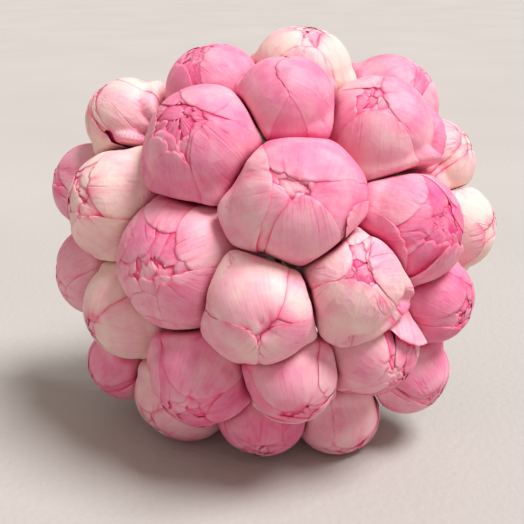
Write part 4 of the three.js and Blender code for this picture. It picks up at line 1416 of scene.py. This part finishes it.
for bud in buds:
    meshes = [stem_mesh(bud)] + (leaf_meshes(bud) if bud.get("leaf") else [])
    for mesh in meshes:
        mesh.transform(to_table)
        for point in mesh.vertices:
            point.co.z = max(point.co.z, 0)
    piece = joined("green_" + bud["name"], meshes + [calyx_mesh(bud)])
    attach(piece, "root")
    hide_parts("stem_" + bud["name"])
print("stems:", len(buds), "with a leaf:", sum(bud.get("leaf", False) for bud in buds))

# %% [markdown]
# ## The twine
#
# One length of twine goes four times round the stems. Its path is drawn tight round the outer stems and
# climbs as it goes. The tree lays three strands round that path, twisted like rope.

# %% The tree of the twine
STRANDS, LAY = 3, 9 * MM  # the lay is the length of one twist
STRAND_OFF, STRAND_THICK = 0.5, 0.52  # a strand's place and radius, as shares of the twine's radius
STRAND_SIDES = 10


def twine_tree():
    tree = Tree("twine", Strands="NodeSocketInt", Radius="NodeSocketFloat", Lay="NodeSocketFloat")
    path = tree.add("GeometryNodeMeshToCurve", tree.input())
    count = tree.input("Strands")
    node = tree.group.nodes.new("GeometryNodeDuplicateElements")
    node.domain = "SPLINE"
    tree.group.links.new(path, node.inputs["Geometry"])
    tree.group.links.new(count, node.inputs["Amount"])
    strands, number = node.outputs["Geometry"], node.outputs["Duplicate Index"]
    parameter = tree.group.nodes.new("GeometryNodeSplineParameter")
    per_metre = tree.maths("DIVIDE", math.tau, tree.input("Lay"))
    start = tree.maths("MULTIPLY", tree.maths("DIVIDE", number, count), math.tau)
    twist = tree.maths("MULTIPLY_ADD", parameter.outputs["Length"], per_metre, start)
    along = tree.add("GeometryNodeInputTangent")
    off = tree.vectors("NORMALIZE", tree.vectors("CROSS_PRODUCT", along, (0, 0, 1)))
    turn = tree.group.nodes.new("ShaderNodeVectorRotate")
    tree.group.links.new(off, turn.inputs["Vector"])
    tree.group.links.new(along, turn.inputs["Axis"])
    tree.group.links.new(twist, turn.inputs["Angle"])
    offset = tree.vectors("SCALE", turn.outputs[0], None)
    off_path = tree.maths("MULTIPLY", tree.input("Radius"), STRAND_OFF)
    tree.group.links.new(off_path, offset.node.inputs["Scale"])
    strands = tree.add("GeometryNodeSetPosition", strands, True, None, offset)
    strands = tree.store(strands, "along", tree.add("GeometryNodeSplineParameter"))
    section = tree.add("GeometryNodeCurvePrimitiveCircle", STRAND_SIDES, 1.0)
    section = tree.store(section, "across", tree.there_and_back(tree.add("GeometryNodeSplineParameter")))
    thick = tree.maths("MULTIPLY", tree.input("Radius"), STRAND_THICK)
    strand = tree.add("GeometryNodeCurveToMesh", strands, section, thick, True)
    return tree.finish(strand, twine)


TWINE_TREE = twine_tree()

# %% Wind the twine
STEPS_PER_TURN = 120


def twine_path():
    """The path of the twine round the stems, from below the tie to its top."""
    half = TWINE * TWINE_TURNS / 2
    steps = STEPS_PER_TURN * TWINE_TURNS
    points = []
    for k in range(steps + 1):
        z = TIE_Z - half + TWINE / 2 + k / steps * (2 * half - TWINE)
        turn = math.tau * k / STEPS_PER_TURN
        way = Vector((math.cos(turn), math.sin(turn), 0))
        furthest = max((straight_stem(bud["index"], z) for bud in buds), key=lambda stem: stem.dot(way))
        spot = furthest + way * (STEM_RADIUS + TIE_GAP + TWINE / 2)
        points.append(Vector((spot.x, spot.y, z)))
    return points


path = path_mesh("twine_path", twine_path())
turns = grown(TWINE_TREE, "twine", path, Strands=STRANDS, Radius=TWINE / 2, Lay=LAY)
turns.transform(to_table)
twine_piece = bpy.data.objects.new("twine", turns)
bpy.context.collection.objects.link(twine_piece)
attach(twine_piece, "root")
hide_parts("tie")
print("faces on the twine:", len(turns.polygons))
